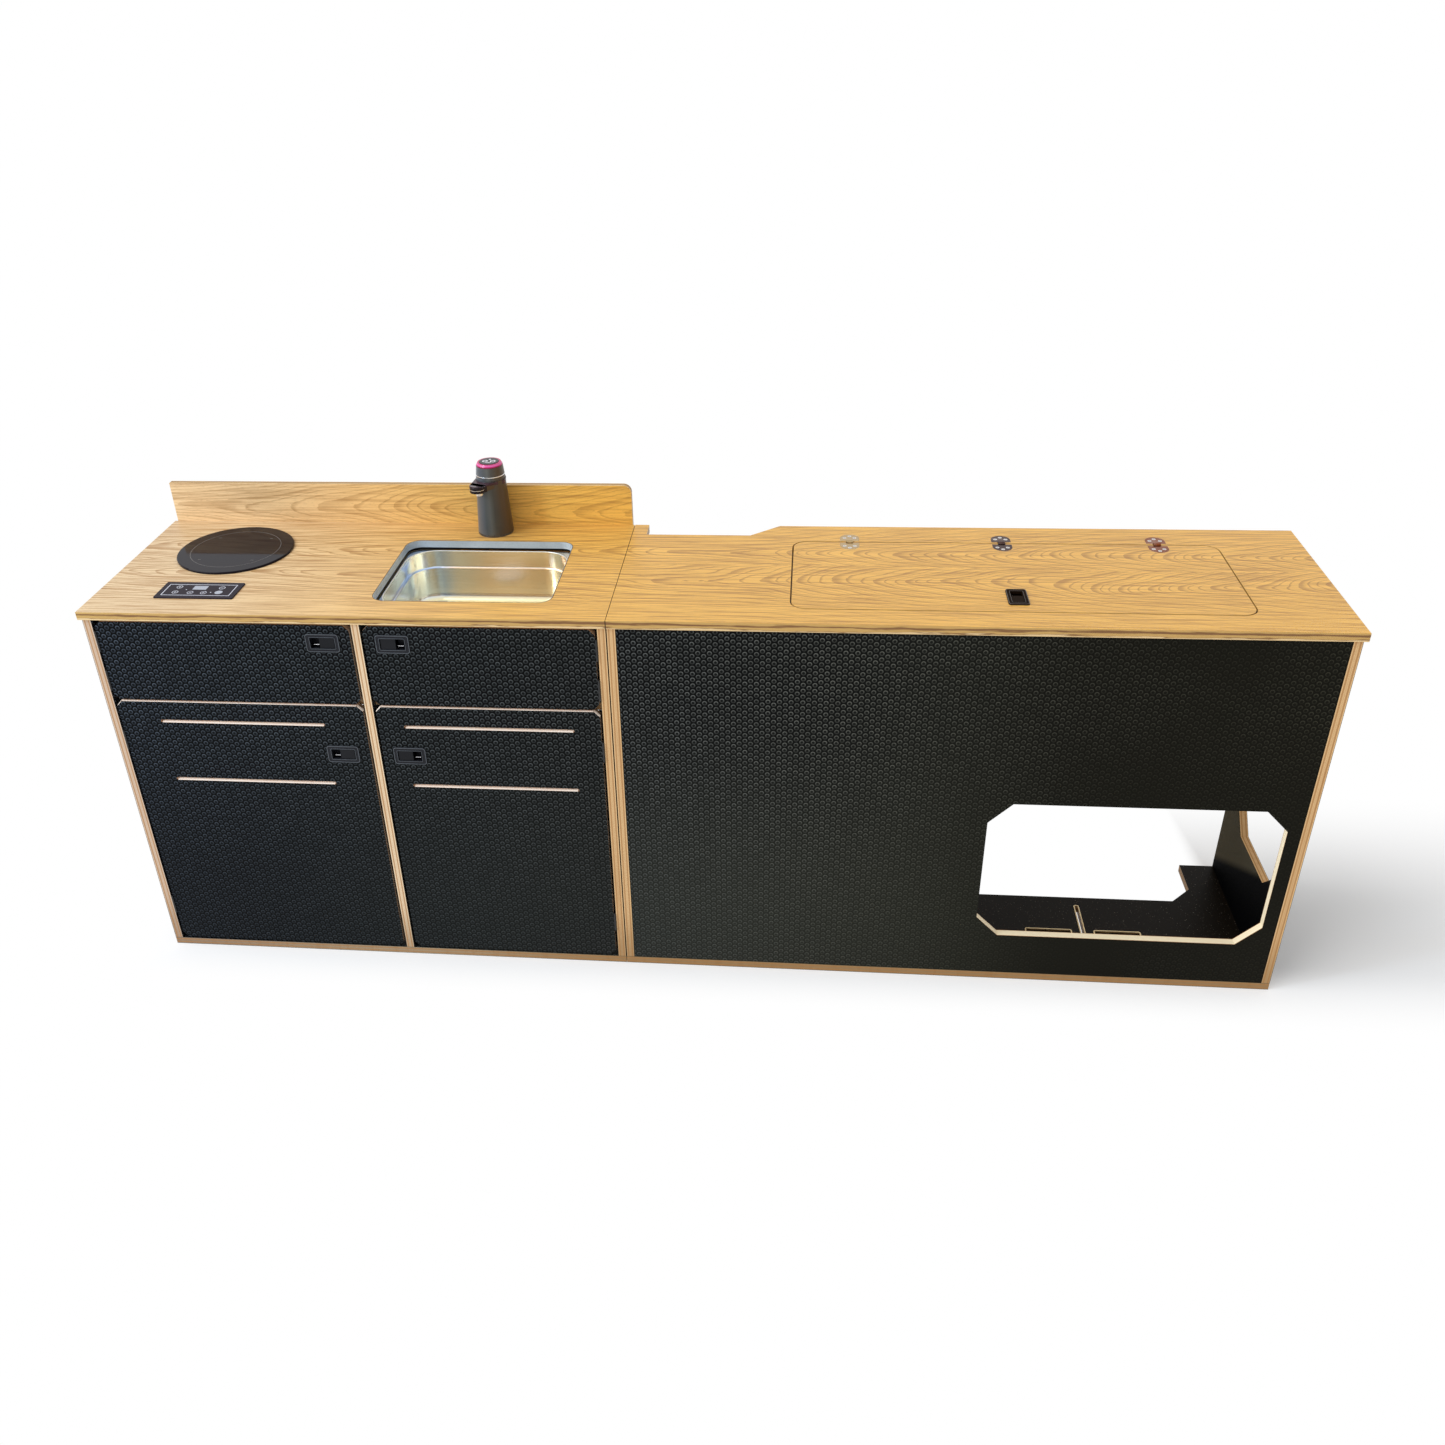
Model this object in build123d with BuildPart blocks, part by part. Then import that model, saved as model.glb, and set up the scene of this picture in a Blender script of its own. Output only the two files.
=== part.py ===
"""Van side furniture unit: two plywood pods that stand side by side.

The left pod is a small kitchen with a hob, a sink, a tap and four doors.
The right pod is a locker with a lid in its worktop and a fixed front panel.
The origin is at the bottom centre of the whole unit, X to the right, Y to the
back and Z up.
"""
from math import cos, pi, sin
import os

from build123d import *

os.makedirs("parts", exist_ok=True)

# Driving dimensions of the whole unit
unit_length = 2080.0
kitchen_length = 900.0
unit_height = 730.0
carcass_depth = 350.0
board = 15.0
seam = 1.0
front_overhang = 4.0
rear_overhang = 50.0
end_overhang = 6.0
splash_thickness = 12.0
edge_round = 0.8
overrun = 5.0

# Places that follow from them
unit_left = -unit_length / 2
unit_right = unit_length / 2
front = (front_overhang - carcass_depth - rear_overhang - splash_thickness) / 2
carcass_back = front + carcass_depth
worktop_front = front - front_overhang
worktop_back = carcass_back + rear_overhang
carcass_top = unit_height - board
seam_centre = unit_left + kitchen_length
kitchen_right = seam_centre - seam / 2
locker_left = seam_centre + seam / 2

# Inside of the two pods
divider_from_seam = 423.0
rail_height = 100.0
shelf_setback = 17.0
upper_bay_height = 158.0
panel_fit = 0.5
bay_left = unit_left + board
divider_centre = seam_centre - divider_from_seam
door_split = carcass_top - upper_bay_height
divider_left = divider_centre - board / 2
divider_right = divider_centre + board / 2
bay_right = kitchen_right - board
rail_front = carcass_back - board
locker_bay_left = locker_left + board
locker_bay_right = unit_right - board

# Splashback
splash_rise = 77.0
splash_right_inset = 4.0
splash_corner = 15.0
splash_left_chamfer = 9.0

# Doors
door_gap = 4.0
door_chamfer = 10.0
slot_end_margin = 46.0
slot_height = 6.0
slot_pitch = 122.0
slots_below_top = 100.0
upper_latch_below_top = 33.0
lower_latch_below_top = 98.0
latch_edge_distance = 49.0

# Door hinges
hinge_height = 40.0
hinge_leaf_width = 12.0
hinge_leaf_thickness = 1.0
hinge_knuckle_radius = 1.9
hinge_pin_radius = 0.9
running_clearance = 0.05
knuckle_end_gap = 0.1
knuckle_side_gap = 0.4
hinge_axis_proud = 0.6
upper_hinge_inset = 38.0
lower_hinge_inset = 80.0

# Slam latches, set by the bezel's centre on the face of a door or the lid
bezel_length = 58.0
bezel_width = 34.0
bezel_proud = 1.6
bezel_corner = 5.0
bezel_edge = 0.7
window_length = 42.6
window_width = 20.0
window_shift = 0.3
window_corner = 1.5
housing_length = 52.0
housing_width = 28.0
housing_corner = 2.0
housing_wall = 2.0
front_plate = 3.4
bolt_near = 30.5
bolt_thickness = 6.0
bolt_width = 10.0
bolt_reach = 46.0
bolt_tail = 12.0
bolt_guide = 0.2
bolt_floor_gap = 0.3
cup_floor_depth = 14.0
cup_floor_thickness = 1.5
cup_length = 18.0
latch_fit = 0.3
paddle_start = -5.2
paddle_end = 20.4
paddle_width = 19.4
paddle_thickness = 3.0
paddle_proud = 0.8
paddle_lip = 2.2
pivot_reach = 18.5
pivot_depth = 1.0
pivot_radius = 1.2
stub_length = 1.6
arm_thickness = 2.4
arm_width = 6.0
arm_tip_depth = 33.4
arm_window_gap = 0.8
housing_depth = bolt_near + bolt_thickness + bolt_floor_gap + housing_wall

# Keeper blocks on the divider
keeper_width = 14.0
keeper_height = 34.0
keeper_gap = 0.3
keeper_play = 0.4

# Worktop cut-outs: the hob and its panel are placed from the left end, the sink
# from the divider and the rear rail
hob_centre_from_left = 174.5
hob_centre_from_back = 142.0
hob_diameter = 210.0
hob_glass_thickness = 4.0
hob_glass_edge = 1.0
hob_body_diameter = 148.0
hob_body_depth = 55.0
cutout_gap = 1.0
control_centre_from_left = 176.8
control_centre_from_front = 84.8
control_length = 142.0
control_width = 63.0
control_plate = 2.0
control_corner = 3.0
control_lip = 6.0
control_depth = 22.0
sink_left_margin = 7.9
sink_back_margin = 15.0
sink_cut_length = 311.0
sink_cut_width = 257.0
sink_cut_corner = 25.0

# Sink pan, a half-size catering pan hung under the worktop: its flange reaches
# past the cut-out and its bowl stays inside it
seal_thickness = 2.0
seal_inset = 3.0
flange_cover_length = 7.0
flange_cover_width = 5.0
pan_flange_corner = 34.0
bowl_inset_length = 5.0
bowl_inset_width = 8.0
pan_flange_length = sink_cut_length + 2 * flange_cover_length
pan_flange_width = sink_cut_width + 2 * flange_cover_width
pan_length = sink_cut_length - 2 * bowl_inset_length
pan_width = sink_cut_width - 2 * bowl_inset_width
sink_centre_x = divider_right + sink_left_margin + pan_length / 2
sink_centre_y = rail_front - sink_back_margin - pan_flange_width / 2
pan_corner = 52.0
pan_sheet = 1.0
pan_depth = 98.0
pan_shoulder_depth = 33.0
pan_step = 4.0
pan_floor_round = 15.0
pan_shoulder_round = 2.5
divider_notch_gap = 2.0
waste_hole_radius = 20.0
waste_flange_radius = 30.0
waste_flange_thickness = 1.5
waste_body_radius = 26.0
waste_body_depth = 40.0
waste_spigot_radius = 12.5
waste_spigot_reach = 60.0
waste_collar_radius = 15.5
waste_collar_reach = 2.0
strainer_hole_radius = 2.5
strainer_ring_radius = 10.0
strainer_holes = 6

# Tap
tap_from_seam = 258.5
tap_from_back = 36.0
tap_base_radius = 33.0
tap_base_height = 4.0
tap_turn_gap = 0.3
tap_shank_radius = 14.0
tap_shank_depth = 40.0
tap_inlet_radius = 5.0
tap_inlet_length = 30.0
tap_neck_height = 106.0
tap_neck_radius = 27.0
tap_band_height = 1.2
tap_band_depth = 1.0
tap_head_height = 130.0
tap_head_radius = 24.5
tap_ring_height = 6.0
tap_ring_radius = 24.0
tap_ring_top_radius = 21.5
tap_button_radius = 18.2
tap_button_gap = 0.3
tap_button_height = 8.0
tap_button_travel = 1.2
tap_button_dome = 0.8
spout_yaw = 22.0
spout_reach = 40.0
spout_tip_radius = 14.0
spout_top_drop = 1.5
spout_thickness = 11.0
spout_round = 3.0
aerator_radius = 7.0
aerator_length = 8.0
aerator_wall = 1.2
aerator_bore_depth = 5.0

# Octagonal opening of the locker's front panel
octagon_length = 497.0
octagon_right_margin = 38.0
octagon_low = 102.7
octagon_high = 391.5
octagon_corner = 40.0

# End panel opening
end_opening_front_margin = 62.0
end_opening_back_margin = 64.0
end_opening_low = 165.0
end_opening_high = 391.0

# Locker base with the wheel arch recess, its groove and its pockets
arch_left_margin = 59.5
arch_right_margin = 80.0
arch_front = 230.0
arch_corner = 40.0
groove_from_right = 310.5
groove_width = 6.0
groove_back = 204.0
groove_length = 144.0
pocket_pitch = 129.0
pocket_length = 84.0
pocket_back = 129.0
pocket_width = 60.0
pocket_depth = 3.0

# Locker worktop: rear notch and lid, which has these margins to the pod's ends
# and to the front and back of its carcass
notch_margin = 26.5
notch_length = 192.0
notch_slope = 53.0
notch_depth = 46.0
lid_left_margin = 299.1
lid_right_margin = 142.4
lid_front_margin = 52.7
lid_back_margin = 22.3
lid_corner = 25.0
lid_gap = 2.5
lid_latch_margin = 52.3
lid_batten_width = 31.0
lid_batten_cover = 14.0
rear_batten_cover = 9.0

# Lid hinges
lid_hinge_inset = 100.0
lid_leaf_width = 34.0
lid_leaf_length = 68.0
lid_leaf_thickness = 3.0
lid_leaf_parting = 5.0
lid_leaf_fit = 0.15
lid_knuckle_radius = 3.5
lid_knuckle_width = 12.0
lid_knuckle_tongue = 5.8
lid_pin_radius = 1.5
lid_pocket_side_gap = 0.6
lid_pocket_floor_gap = 0.5
lid_screw_x = 9.0
lid_screw_y = 18.0
lid_end_screw_y = 26.0
countersink_angle = 90.0
screw_head_radius = 3.4
screw_shank_radius = 1.75
screw_length = 12.0
screw_sink = 0.1
screw_recess_width = 0.9
screw_recess_length = 3.6
screw_recess_depth = 1.0

# Bolts that join the two pods
joining_bolt_radius = 3.0
joining_bolt_hole = 3.1
joining_head_radius = 6.0
joining_head_height = 3.0
joining_from_front = 60.0
joining_from_back = 50.0
joining_from_base = 90.0
joining_below_top = 80.0


def from_left(distance):
    """X of a point that lies this far from the unit's left end."""
    return unit_left + distance


def from_right(distance):
    """X of a point that lies this far from the unit's right end."""
    return unit_right - distance


def from_front(distance):
    """Y of a point that lies this far behind the carcass's front."""
    return front + distance


def finish(part_builder, name):
    """Label a finished piece and write it to its own file."""
    part_builder.part.label = name
    export_step(part_builder.part, f"parts/{name}.step")


def rectangle_between(low, high):
    """Add the rectangle with these two corners to the open sketch."""
    with Locations(((low[0] + high[0]) / 2, (low[1] + high[1]) / 2)):
        Rectangle(high[0] - low[0], high[1] - low[1])


# Kitchen base
with BuildPart() as kitchen_base:
    with BuildSketch(Plane.XY):
        rectangle_between((unit_left, front), (kitchen_right, carcass_back))
    extrude(amount=board)
finish(kitchen_base, "kitchen_base")

# Kitchen left side
with BuildPart() as kitchen_left_side:
    with BuildSketch(Plane.YZ.offset(unit_left)):
        rectangle_between((front, board), (carcass_back, carcass_top))
    extrude(amount=board)
finish(kitchen_left_side, "kitchen_left_side")

# Joining bolts stand at these places on the two middle sides
joining_places = [
    (y, z)
    for y in (from_front(joining_from_front), carcass_back - joining_from_back)
    for z in (board + joining_from_base, carcass_top - joining_below_top)
]

# Kitchen right side, drilled for the joining bolts
with BuildPart() as kitchen_right_side:
    with BuildSketch(Plane.YZ.offset(bay_right)):
        rectangle_between((front, board), (carcass_back, carcass_top))
        with Locations(*joining_places):
            Circle(joining_bolt_hole, mode=Mode.SUBTRACT)
    extrude(amount=board)
finish(kitchen_right_side, "kitchen_right_side")

# Kitchen divider between the two door columns, notched for the sink pan's flange
notch_reach = pan_flange_width / 2 + divider_notch_gap
notch_floor = carcass_top - seal_thickness - pan_sheet - divider_notch_gap
with BuildPart() as kitchen_divider:
    with BuildSketch(Plane.YZ.offset(divider_left)):
        rectangle_between((front, board), (rail_front, carcass_top))
    extrude(amount=board)
    with BuildSketch(Plane.YZ.offset(divider_left)):
        rectangle_between(
            (sink_centre_y - notch_reach, notch_floor),
            (sink_centre_y + notch_reach, carcass_top),
        )
    extrude(amount=board, mode=Mode.SUBTRACT)
finish(kitchen_divider, "kitchen_divider")

# Kitchen shelves, one in each column, level with the gap between the doors
with BuildPart() as kitchen_shelves:
    with BuildSketch(Plane.XY.offset(door_split - board / 2)):
        rectangle_between((bay_left, from_front(shelf_setback)), (divider_left, rail_front))
        rectangle_between((divider_right, from_front(shelf_setback)), (bay_right, rail_front))
    extrude(amount=board)
finish(kitchen_shelves, "kitchen_shelves")

# Kitchen rear rail
with BuildPart() as kitchen_rear_rail:
    with BuildSketch(Plane.XZ.offset(-carcass_back)):
        rectangle_between((bay_left, carcass_top - rail_height), (bay_right, carcass_top))
    extrude(amount=board)
finish(kitchen_rear_rail, "kitchen_rear_rail")

# Places of what stands in the kitchen worktop
hob_centre = (from_left(hob_centre_from_left), worktop_back - hob_centre_from_back)
control_centre = (from_left(control_centre_from_left), from_front(control_centre_from_front))
sink_centre = (sink_centre_x, sink_centre_y)
tap_centre = (seam_centre - tap_from_seam, worktop_back - tap_from_back)
control_body_length = control_length - 2 * control_lip
control_body_width = control_width - 2 * control_lip

# Kitchen worktop
with BuildPart() as kitchen_worktop:
    with BuildSketch(Plane.XY.offset(carcass_top)):
        rectangle_between((unit_left - end_overhang, worktop_front), (kitchen_right, worktop_back))
        with Locations(hob_centre):
            Circle(hob_body_diameter / 2 + cutout_gap, mode=Mode.SUBTRACT)
        with Locations(control_centre):
            Rectangle(
                control_body_length + 2 * cutout_gap,
                control_body_width + 2 * cutout_gap,
                mode=Mode.SUBTRACT,
            )
        with Locations(sink_centre):
            RectangleRounded(sink_cut_length, sink_cut_width, sink_cut_corner, mode=Mode.SUBTRACT)
        with Locations(tap_centre):
            Circle(tap_shank_radius + cutout_gap, mode=Mode.SUBTRACT)
    extrude(amount=board)
    worktop_rim = kitchen_worktop.faces().sort_by(Axis.Z)[-1].outer_wire().edges()
    fillet(worktop_rim.filter_by(Axis.X) + worktop_rim.sort_by(Axis.X)[:1], edge_round)
finish(kitchen_worktop, "kitchen_worktop")

# Splashback behind the kitchen worktop
splash_right = kitchen_right - splash_right_inset
splash_top = unit_height + splash_rise
with BuildPart() as splashback:
    with BuildSketch(Plane.XZ.offset(-(worktop_back + splash_thickness))) as splash_outline:
        rectangle_between((unit_left, carcass_top), (splash_right, splash_top))
        top_corners = splash_outline.vertices().group_by(Axis.Z)[-1].sort_by(Axis.X)
        chamfer(top_corners[0], splash_left_chamfer)
        fillet(splash_outline.vertices().group_by(Axis.Z)[-1].sort_by(Axis.X)[-1], splash_corner)
    extrude(amount=splash_thickness)
finish(splashback, "splashback")

# Locker base with a recess for the wheel arch
recess_left = locker_left + arch_left_margin
recess_right = from_right(arch_right_margin)
recess_front = from_front(arch_front)
groove_centre = from_right(groove_from_right)
with BuildPart() as locker_base:
    with BuildSketch(Plane.XY):
        with BuildLine():
            Polyline(
                (locker_left, front),
                (unit_right, front),
                (unit_right, carcass_back),
                (recess_right, carcass_back),
                (recess_right, recess_front + arch_corner),
                (recess_right - arch_corner, recess_front),
                (recess_left + arch_corner, recess_front),
                (recess_left, recess_front + arch_corner),
                (recess_left, carcass_back),
                (locker_left, carcass_back),
                close=True,
            )
        make_face()
        with Locations((groove_centre, from_front(groove_back - groove_length / 2))):
            SlotOverall(groove_length, groove_width, rotation=90, mode=Mode.SUBTRACT)
    extrude(amount=board)
    with BuildSketch(Plane.XY.offset(board)):
        with Locations((groove_centre, from_front(pocket_back - pocket_width / 2))):
            with GridLocations(pocket_pitch, pocket_width, 2, 1):
                Rectangle(pocket_length, pocket_width)
    extrude(amount=-pocket_depth, mode=Mode.SUBTRACT)
finish(locker_base, "locker_base")

# Locker left side, drilled for the joining bolts
with BuildPart() as locker_left_side:
    with BuildSketch(Plane.YZ.offset(locker_left)):
        rectangle_between((front, board), (carcass_back, carcass_top))
        with Locations(*joining_places):
            Circle(joining_bolt_hole, mode=Mode.SUBTRACT)
    extrude(amount=board)
finish(locker_left_side, "locker_left_side")


def chamfered_opening(low, high, corner):
    """Cut a rectangle with chamfered corners out of the open sketch."""
    middle = ((low[0] + high[0]) / 2, (low[1] + high[1]) / 2)
    half_x = (high[0] - low[0]) / 2
    half_y = (high[1] - low[1]) / 2
    points = [
        (half_x - corner, half_y),
        (half_x, half_y - corner),
        (half_x, corner - half_y),
        (half_x - corner, -half_y),
        (corner - half_x, -half_y),
        (-half_x, corner - half_y),
        (-half_x, half_y - corner),
        (corner - half_x, half_y),
    ]
    with Locations(middle):
        Polygon(*points, align=None, mode=Mode.SUBTRACT)


# Locker right side with its own chamfered opening
with BuildPart() as locker_right_side:
    with BuildSketch(Plane.YZ.offset(locker_bay_right)):
        rectangle_between((front, board), (carcass_back, carcass_top))
        chamfered_opening(
            (from_front(end_opening_front_margin), end_opening_low),
            (carcass_back - end_opening_back_margin, end_opening_high),
            octagon_corner,
        )
    extrude(amount=board)
finish(locker_right_side, "locker_right_side")

# Locker front panel with its octagonal opening
with BuildPart() as locker_front_panel:
    with BuildSketch(Plane.XZ.offset(-(front + board))):
        rectangle_between(
            (locker_bay_left + panel_fit, board),
            (locker_bay_right - panel_fit, carcass_top - panel_fit),
        )
        chamfered_opening(
            (from_right(octagon_right_margin + octagon_length), octagon_low),
            (from_right(octagon_right_margin), octagon_high),
            octagon_corner,
        )
    extrude(amount=board)
finish(locker_front_panel, "locker_front_panel")

# Locker rear rail
with BuildPart() as locker_rear_rail:
    with BuildSketch(Plane.XZ.offset(-carcass_back)):
        rectangle_between((locker_bay_left, carcass_top - rail_height), (locker_bay_right, carcass_top))
    extrude(amount=board)
finish(locker_rear_rail, "locker_rear_rail")

# Lid, its opening, its hinge line and its hinge places
lid_left = locker_left + lid_left_margin
lid_right = from_right(lid_right_margin)
lid_front = from_front(lid_front_margin)
lid_back = carcass_back - lid_back_margin
lid_centre = ((lid_left + lid_right) / 2, (lid_front + lid_back) / 2)
lid_length = lid_right - lid_left
lid_width = lid_back - lid_front
opening_length = lid_length + 2 * lid_gap
opening_width = lid_width + 2 * lid_gap
opening_front = lid_front - lid_gap
opening_back = lid_back + lid_gap
opening_left = lid_left - lid_gap
opening_right = lid_right + lid_gap
lid_latch_y = lid_front + lid_latch_margin
lid_hinge_line = opening_back - lid_gap / 2
lid_hinge_places = [
    (lid_left + lid_hinge_inset, lid_hinge_line),
    (lid_centre[0], lid_hinge_line),
    (lid_right - lid_hinge_inset, lid_hinge_line),
]
screw_places = [
    (-lid_screw_x, lid_screw_y),
    (lid_screw_x, lid_screw_y),
    (0, lid_end_screw_y),
]


def leaf_outline(side, spread):
    """Add one half-oval leaf, on the back (1) or front (-1) side, to the open sketch."""
    length = lid_leaf_length + 2 * spread
    width = lid_leaf_width + 2 * spread
    SlotOverall(length, width, rotation=90)
    parting = side * (lid_leaf_parting - spread)
    far = side * length
    low = min(parting, far)
    high = max(parting, far)
    with Locations((0, (low + high) / 2)):
        Rectangle(width, high - low, mode=Mode.INTERSECT)


def hinge_pocket_tool(side):
    """The wood that one lid hinge takes out on the back (1) or front (-1) side."""
    knuckle_depth = lid_knuckle_radius + lid_pocket_floor_gap
    knuckle_width = lid_knuckle_width + 2 * lid_pocket_side_gap
    reach = lid_leaf_parting + lid_leaf_fit
    with BuildPart(mode=Mode.PRIVATE) as tool:
        with BuildSketch(Plane.XY):
            leaf_outline(side, lid_leaf_fit)
        extrude(amount=-lid_leaf_thickness)
        with BuildSketch(Plane.XY):
            with Locations((0, side * reach / 2)):
                Rectangle(knuckle_width, reach)
        extrude(amount=-knuckle_depth)
        with BuildSketch(Plane.XY):
            for x, y in screw_places:
                with Locations((x, side * y)):
                    Circle(screw_shank_radius + running_clearance)
        extrude(amount=-(screw_length + overrun / 2))
    return tool.part


back_pocket = hinge_pocket_tool(1)
front_pocket = hinge_pocket_tool(-1)

# Locker worktop with the rear notch, the lid opening and the hinge pockets
notch_left = locker_left + notch_margin
notch_right = notch_left + notch_length
notch_front = worktop_back - notch_depth
with BuildPart() as locker_worktop:
    with BuildSketch(Plane.XY.offset(carcass_top)):
        with BuildLine():
            Polyline(
                (locker_left, worktop_front),
                (unit_right + end_overhang, worktop_front),
                (unit_right + end_overhang, worktop_back),
                (notch_right + notch_slope, worktop_back),
                (notch_right, notch_front),
                (notch_left, notch_front),
                (notch_left, worktop_back),
                (locker_left, worktop_back),
                close=True,
            )
        make_face()
        with Locations(lid_centre):
            RectangleRounded(
                opening_length, opening_width, lid_corner + lid_gap, mode=Mode.SUBTRACT
            )
    extrude(amount=board)
    locker_rim = locker_worktop.faces().sort_by(Axis.Z)[-1].outer_wire().edges()
    fillet(locker_rim.sort_by(Axis.X)[-1:] + locker_rim.group_by(Axis.Y)[0], edge_round)
    for x, y in lid_hinge_places:
        with Locations((x, y, unit_height)):
            add(back_pocket, mode=Mode.SUBTRACT)
finish(locker_worktop, "locker_worktop")

# Lid that drops into the opening
with BuildPart() as lid:
    with BuildSketch(Plane.XY.offset(carcass_top)):
        with Locations(lid_centre):
            RectangleRounded(lid_length, lid_width, lid_corner)
        with Locations((lid_centre[0], lid_latch_y)):
            RectangleRounded(
                housing_width + 2 * latch_fit,
                housing_length + 2 * latch_fit,
                housing_corner + latch_fit,
                mode=Mode.SUBTRACT,
            )
    extrude(amount=board)
    for x, y in lid_hinge_places:
        with Locations((x, y, unit_height)):
            add(front_pocket, mode=Mode.SUBTRACT)
finish(lid, "lid")

# Battens under the opening's edges: the lid lands on them
front_batten_back = opening_front + lid_batten_cover
rear_batten_front = opening_back - rear_batten_cover
with BuildPart() as lid_battens:
    with BuildSketch(Plane.XY.offset(carcass_top - board)):
        rectangle_between(
            (opening_left - lid_batten_cover, front_batten_back - lid_batten_width),
            (opening_right + lid_batten_cover, front_batten_back),
        )
        rectangle_between(
            (opening_left - lid_batten_cover, rear_batten_front),
            (opening_right + lid_batten_cover, rail_front),
        )
        rectangle_between(
            (opening_left + lid_batten_cover - lid_batten_width, front_batten_back),
            (opening_left + lid_batten_cover, rear_batten_front),
        )
        rectangle_between(
            (opening_right - lid_batten_cover, front_batten_back),
            (opening_right - lid_batten_cover + lid_batten_width, rear_batten_front),
        )
    extrude(amount=board)
finish(lid_battens, "lid_battens")

# Bolts and cap nuts that join the two pods
with BuildPart() as pod_bolts:
    for y, z in joining_places:
        with BuildSketch(Plane.YZ.offset(bay_right)):
            with Locations((y, z)):
                Circle(joining_bolt_radius)
        extrude(amount=2 * board + seam)
        with BuildSketch(Plane.YZ.offset(bay_right - joining_head_height)):
            with Locations((y, z)):
                Circle(joining_head_radius)
        extrude(amount=joining_head_height)
        with BuildSketch(Plane.YZ.offset(locker_bay_left)):
            with Locations((y, z)):
                RegularPolygon(joining_head_radius, 6)
        extrude(amount=joining_head_height)
finish(pod_bolts, "pod_bolts")

# Doors: each has its hinge on the outer side and its latch beside the divider
lower_door_low = board + door_gap
lower_door_high = door_split - door_gap / 2
upper_door_low = door_split + door_gap / 2
upper_door_high = carcass_top - door_gap
left_door_span = (bay_left + door_gap, divider_left - door_gap)
right_door_span = (divider_right + door_gap, bay_right - door_gap)
doors = {
    "upper_left": (left_door_span, upper_door_low, upper_door_high, 1),
    "upper_right": (right_door_span, upper_door_low, upper_door_high, -1),
    "lower_left": (left_door_span, lower_door_low, lower_door_high, 1),
    "lower_right": (right_door_span, lower_door_low, lower_door_high, -1),
}
narrow_door_width = min(span[1] - span[0] for span in (left_door_span, right_door_span))
slot_length = narrow_door_width - 2 * slot_end_margin


def door_latch_centre(name):
    """X and Z of the latch bezel's centre on this door."""
    span, low, high, toward_divider = doors[name]
    free_edge = span[1] if toward_divider > 0 else span[0]
    drop = upper_latch_below_top if name.startswith("upper") else lower_latch_below_top
    return (free_edge - toward_divider * latch_edge_distance, high - drop)


def make_door(name):
    """One door with its chamfered corners, latch cut-out and any slots."""
    span, low, high, toward_divider = doors[name]
    with BuildPart() as door:
        with BuildSketch(Plane.XZ.offset(-(front + board))) as outline:
            rectangle_between((span[0], low), (span[1], high))
            chamfer(outline.vertices(), door_chamfer)
            with Locations(door_latch_centre(name)):
                RectangleRounded(
                    housing_length + 2 * latch_fit,
                    housing_width + 2 * latch_fit,
                    housing_corner + latch_fit,
                    mode=Mode.SUBTRACT,
                )
            if name.startswith("lower"):
                with Locations(((span[0] + span[1]) / 2, high - slots_below_top)):
                    with GridLocations(slot_length, slot_pitch, 1, 2):
                        SlotOverall(slot_length, slot_height, mode=Mode.SUBTRACT)
        extrude(amount=board)
    return door


for door_name in doors:
    finish(make_door(door_name), f"{door_name}_door")

# Door hinges: a knuckle in the gap beside each door, its axis at the front
hinge_axis_y = front - hinge_axis_proud
hinge_back_y = hinge_axis_y + hinge_leaf_width + knuckle_side_gap
knuckle_length = hinge_height / 3


def hinge_axis_x(name):
    """X of the door's hinge axis, in the middle of its outer gap."""
    span, low, high, toward_divider = doors[name]
    return (span[0] if toward_divider > 0 else span[1]) - toward_divider * door_gap / 2


def hinge_heights(name):
    """Heights of the lower ends of the door's two hinges."""
    span, low, high, toward_divider = doors[name]
    inset = upper_hinge_inset if name.startswith("upper") else lower_hinge_inset
    return (low + inset - hinge_height / 2, high - inset - hinge_height / 2)


def hinge_leaf_piece(axis_x, bottom, side, knuckles):
    """One leaf of a door hinge, on this side (1 or -1) of its axis."""
    plate_inner = axis_x + side * (door_gap / 2 - hinge_leaf_thickness)
    plate_outer = axis_x + side * door_gap / 2
    left = min(plate_inner, plate_outer)
    right = max(plate_inner, plate_outer)
    plate_front = hinge_axis_y + hinge_knuckle_radius + knuckle_side_gap
    with BuildPart(mode=Mode.PRIVATE) as leaf:
        with BuildSketch(Plane.XY.offset(bottom)):
            rectangle_between((left, plate_front), (right, hinge_back_y))
        extrude(amount=hinge_height)
        for knuckle in knuckles:
            knuckle_low = bottom + knuckle * knuckle_length + knuckle_end_gap
            with BuildSketch(Plane.XY.offset(knuckle_low)):
                rectangle_between((left, hinge_axis_y), (right, plate_front))
                with Locations((axis_x, hinge_axis_y)):
                    Circle(hinge_knuckle_radius)
                    Circle(hinge_pin_radius + running_clearance, mode=Mode.SUBTRACT)
            extrude(amount=knuckle_length - 2 * knuckle_end_gap)
    return leaf.part


with BuildPart() as door_hinge_frame_leaves:
    for door_name, (span, low, high, toward_divider) in doors.items():
        for hinge_bottom in hinge_heights(door_name):
            add(hinge_leaf_piece(hinge_axis_x(door_name), hinge_bottom, -toward_divider, (0, 2)))
finish(door_hinge_frame_leaves, "door_hinge_frame_leaves")

for door_name, (span, low, high, toward_divider) in doors.items():
    with BuildPart() as door_leaves:
        for hinge_bottom in hinge_heights(door_name):
            add(hinge_leaf_piece(hinge_axis_x(door_name), hinge_bottom, toward_divider, (1,)))
    finish(door_leaves, f"{door_name}_hinge_leaves")

with BuildPart() as door_hinge_pins:
    for door_name in doors:
        for hinge_bottom in hinge_heights(door_name):
            with BuildSketch(Plane.XY.offset(hinge_bottom)):
                with Locations((hinge_axis_x(door_name), hinge_axis_y)):
                    Circle(hinge_pin_radius)
            extrude(amount=hinge_height)
finish(door_hinge_pins, "door_hinge_pins")

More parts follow.
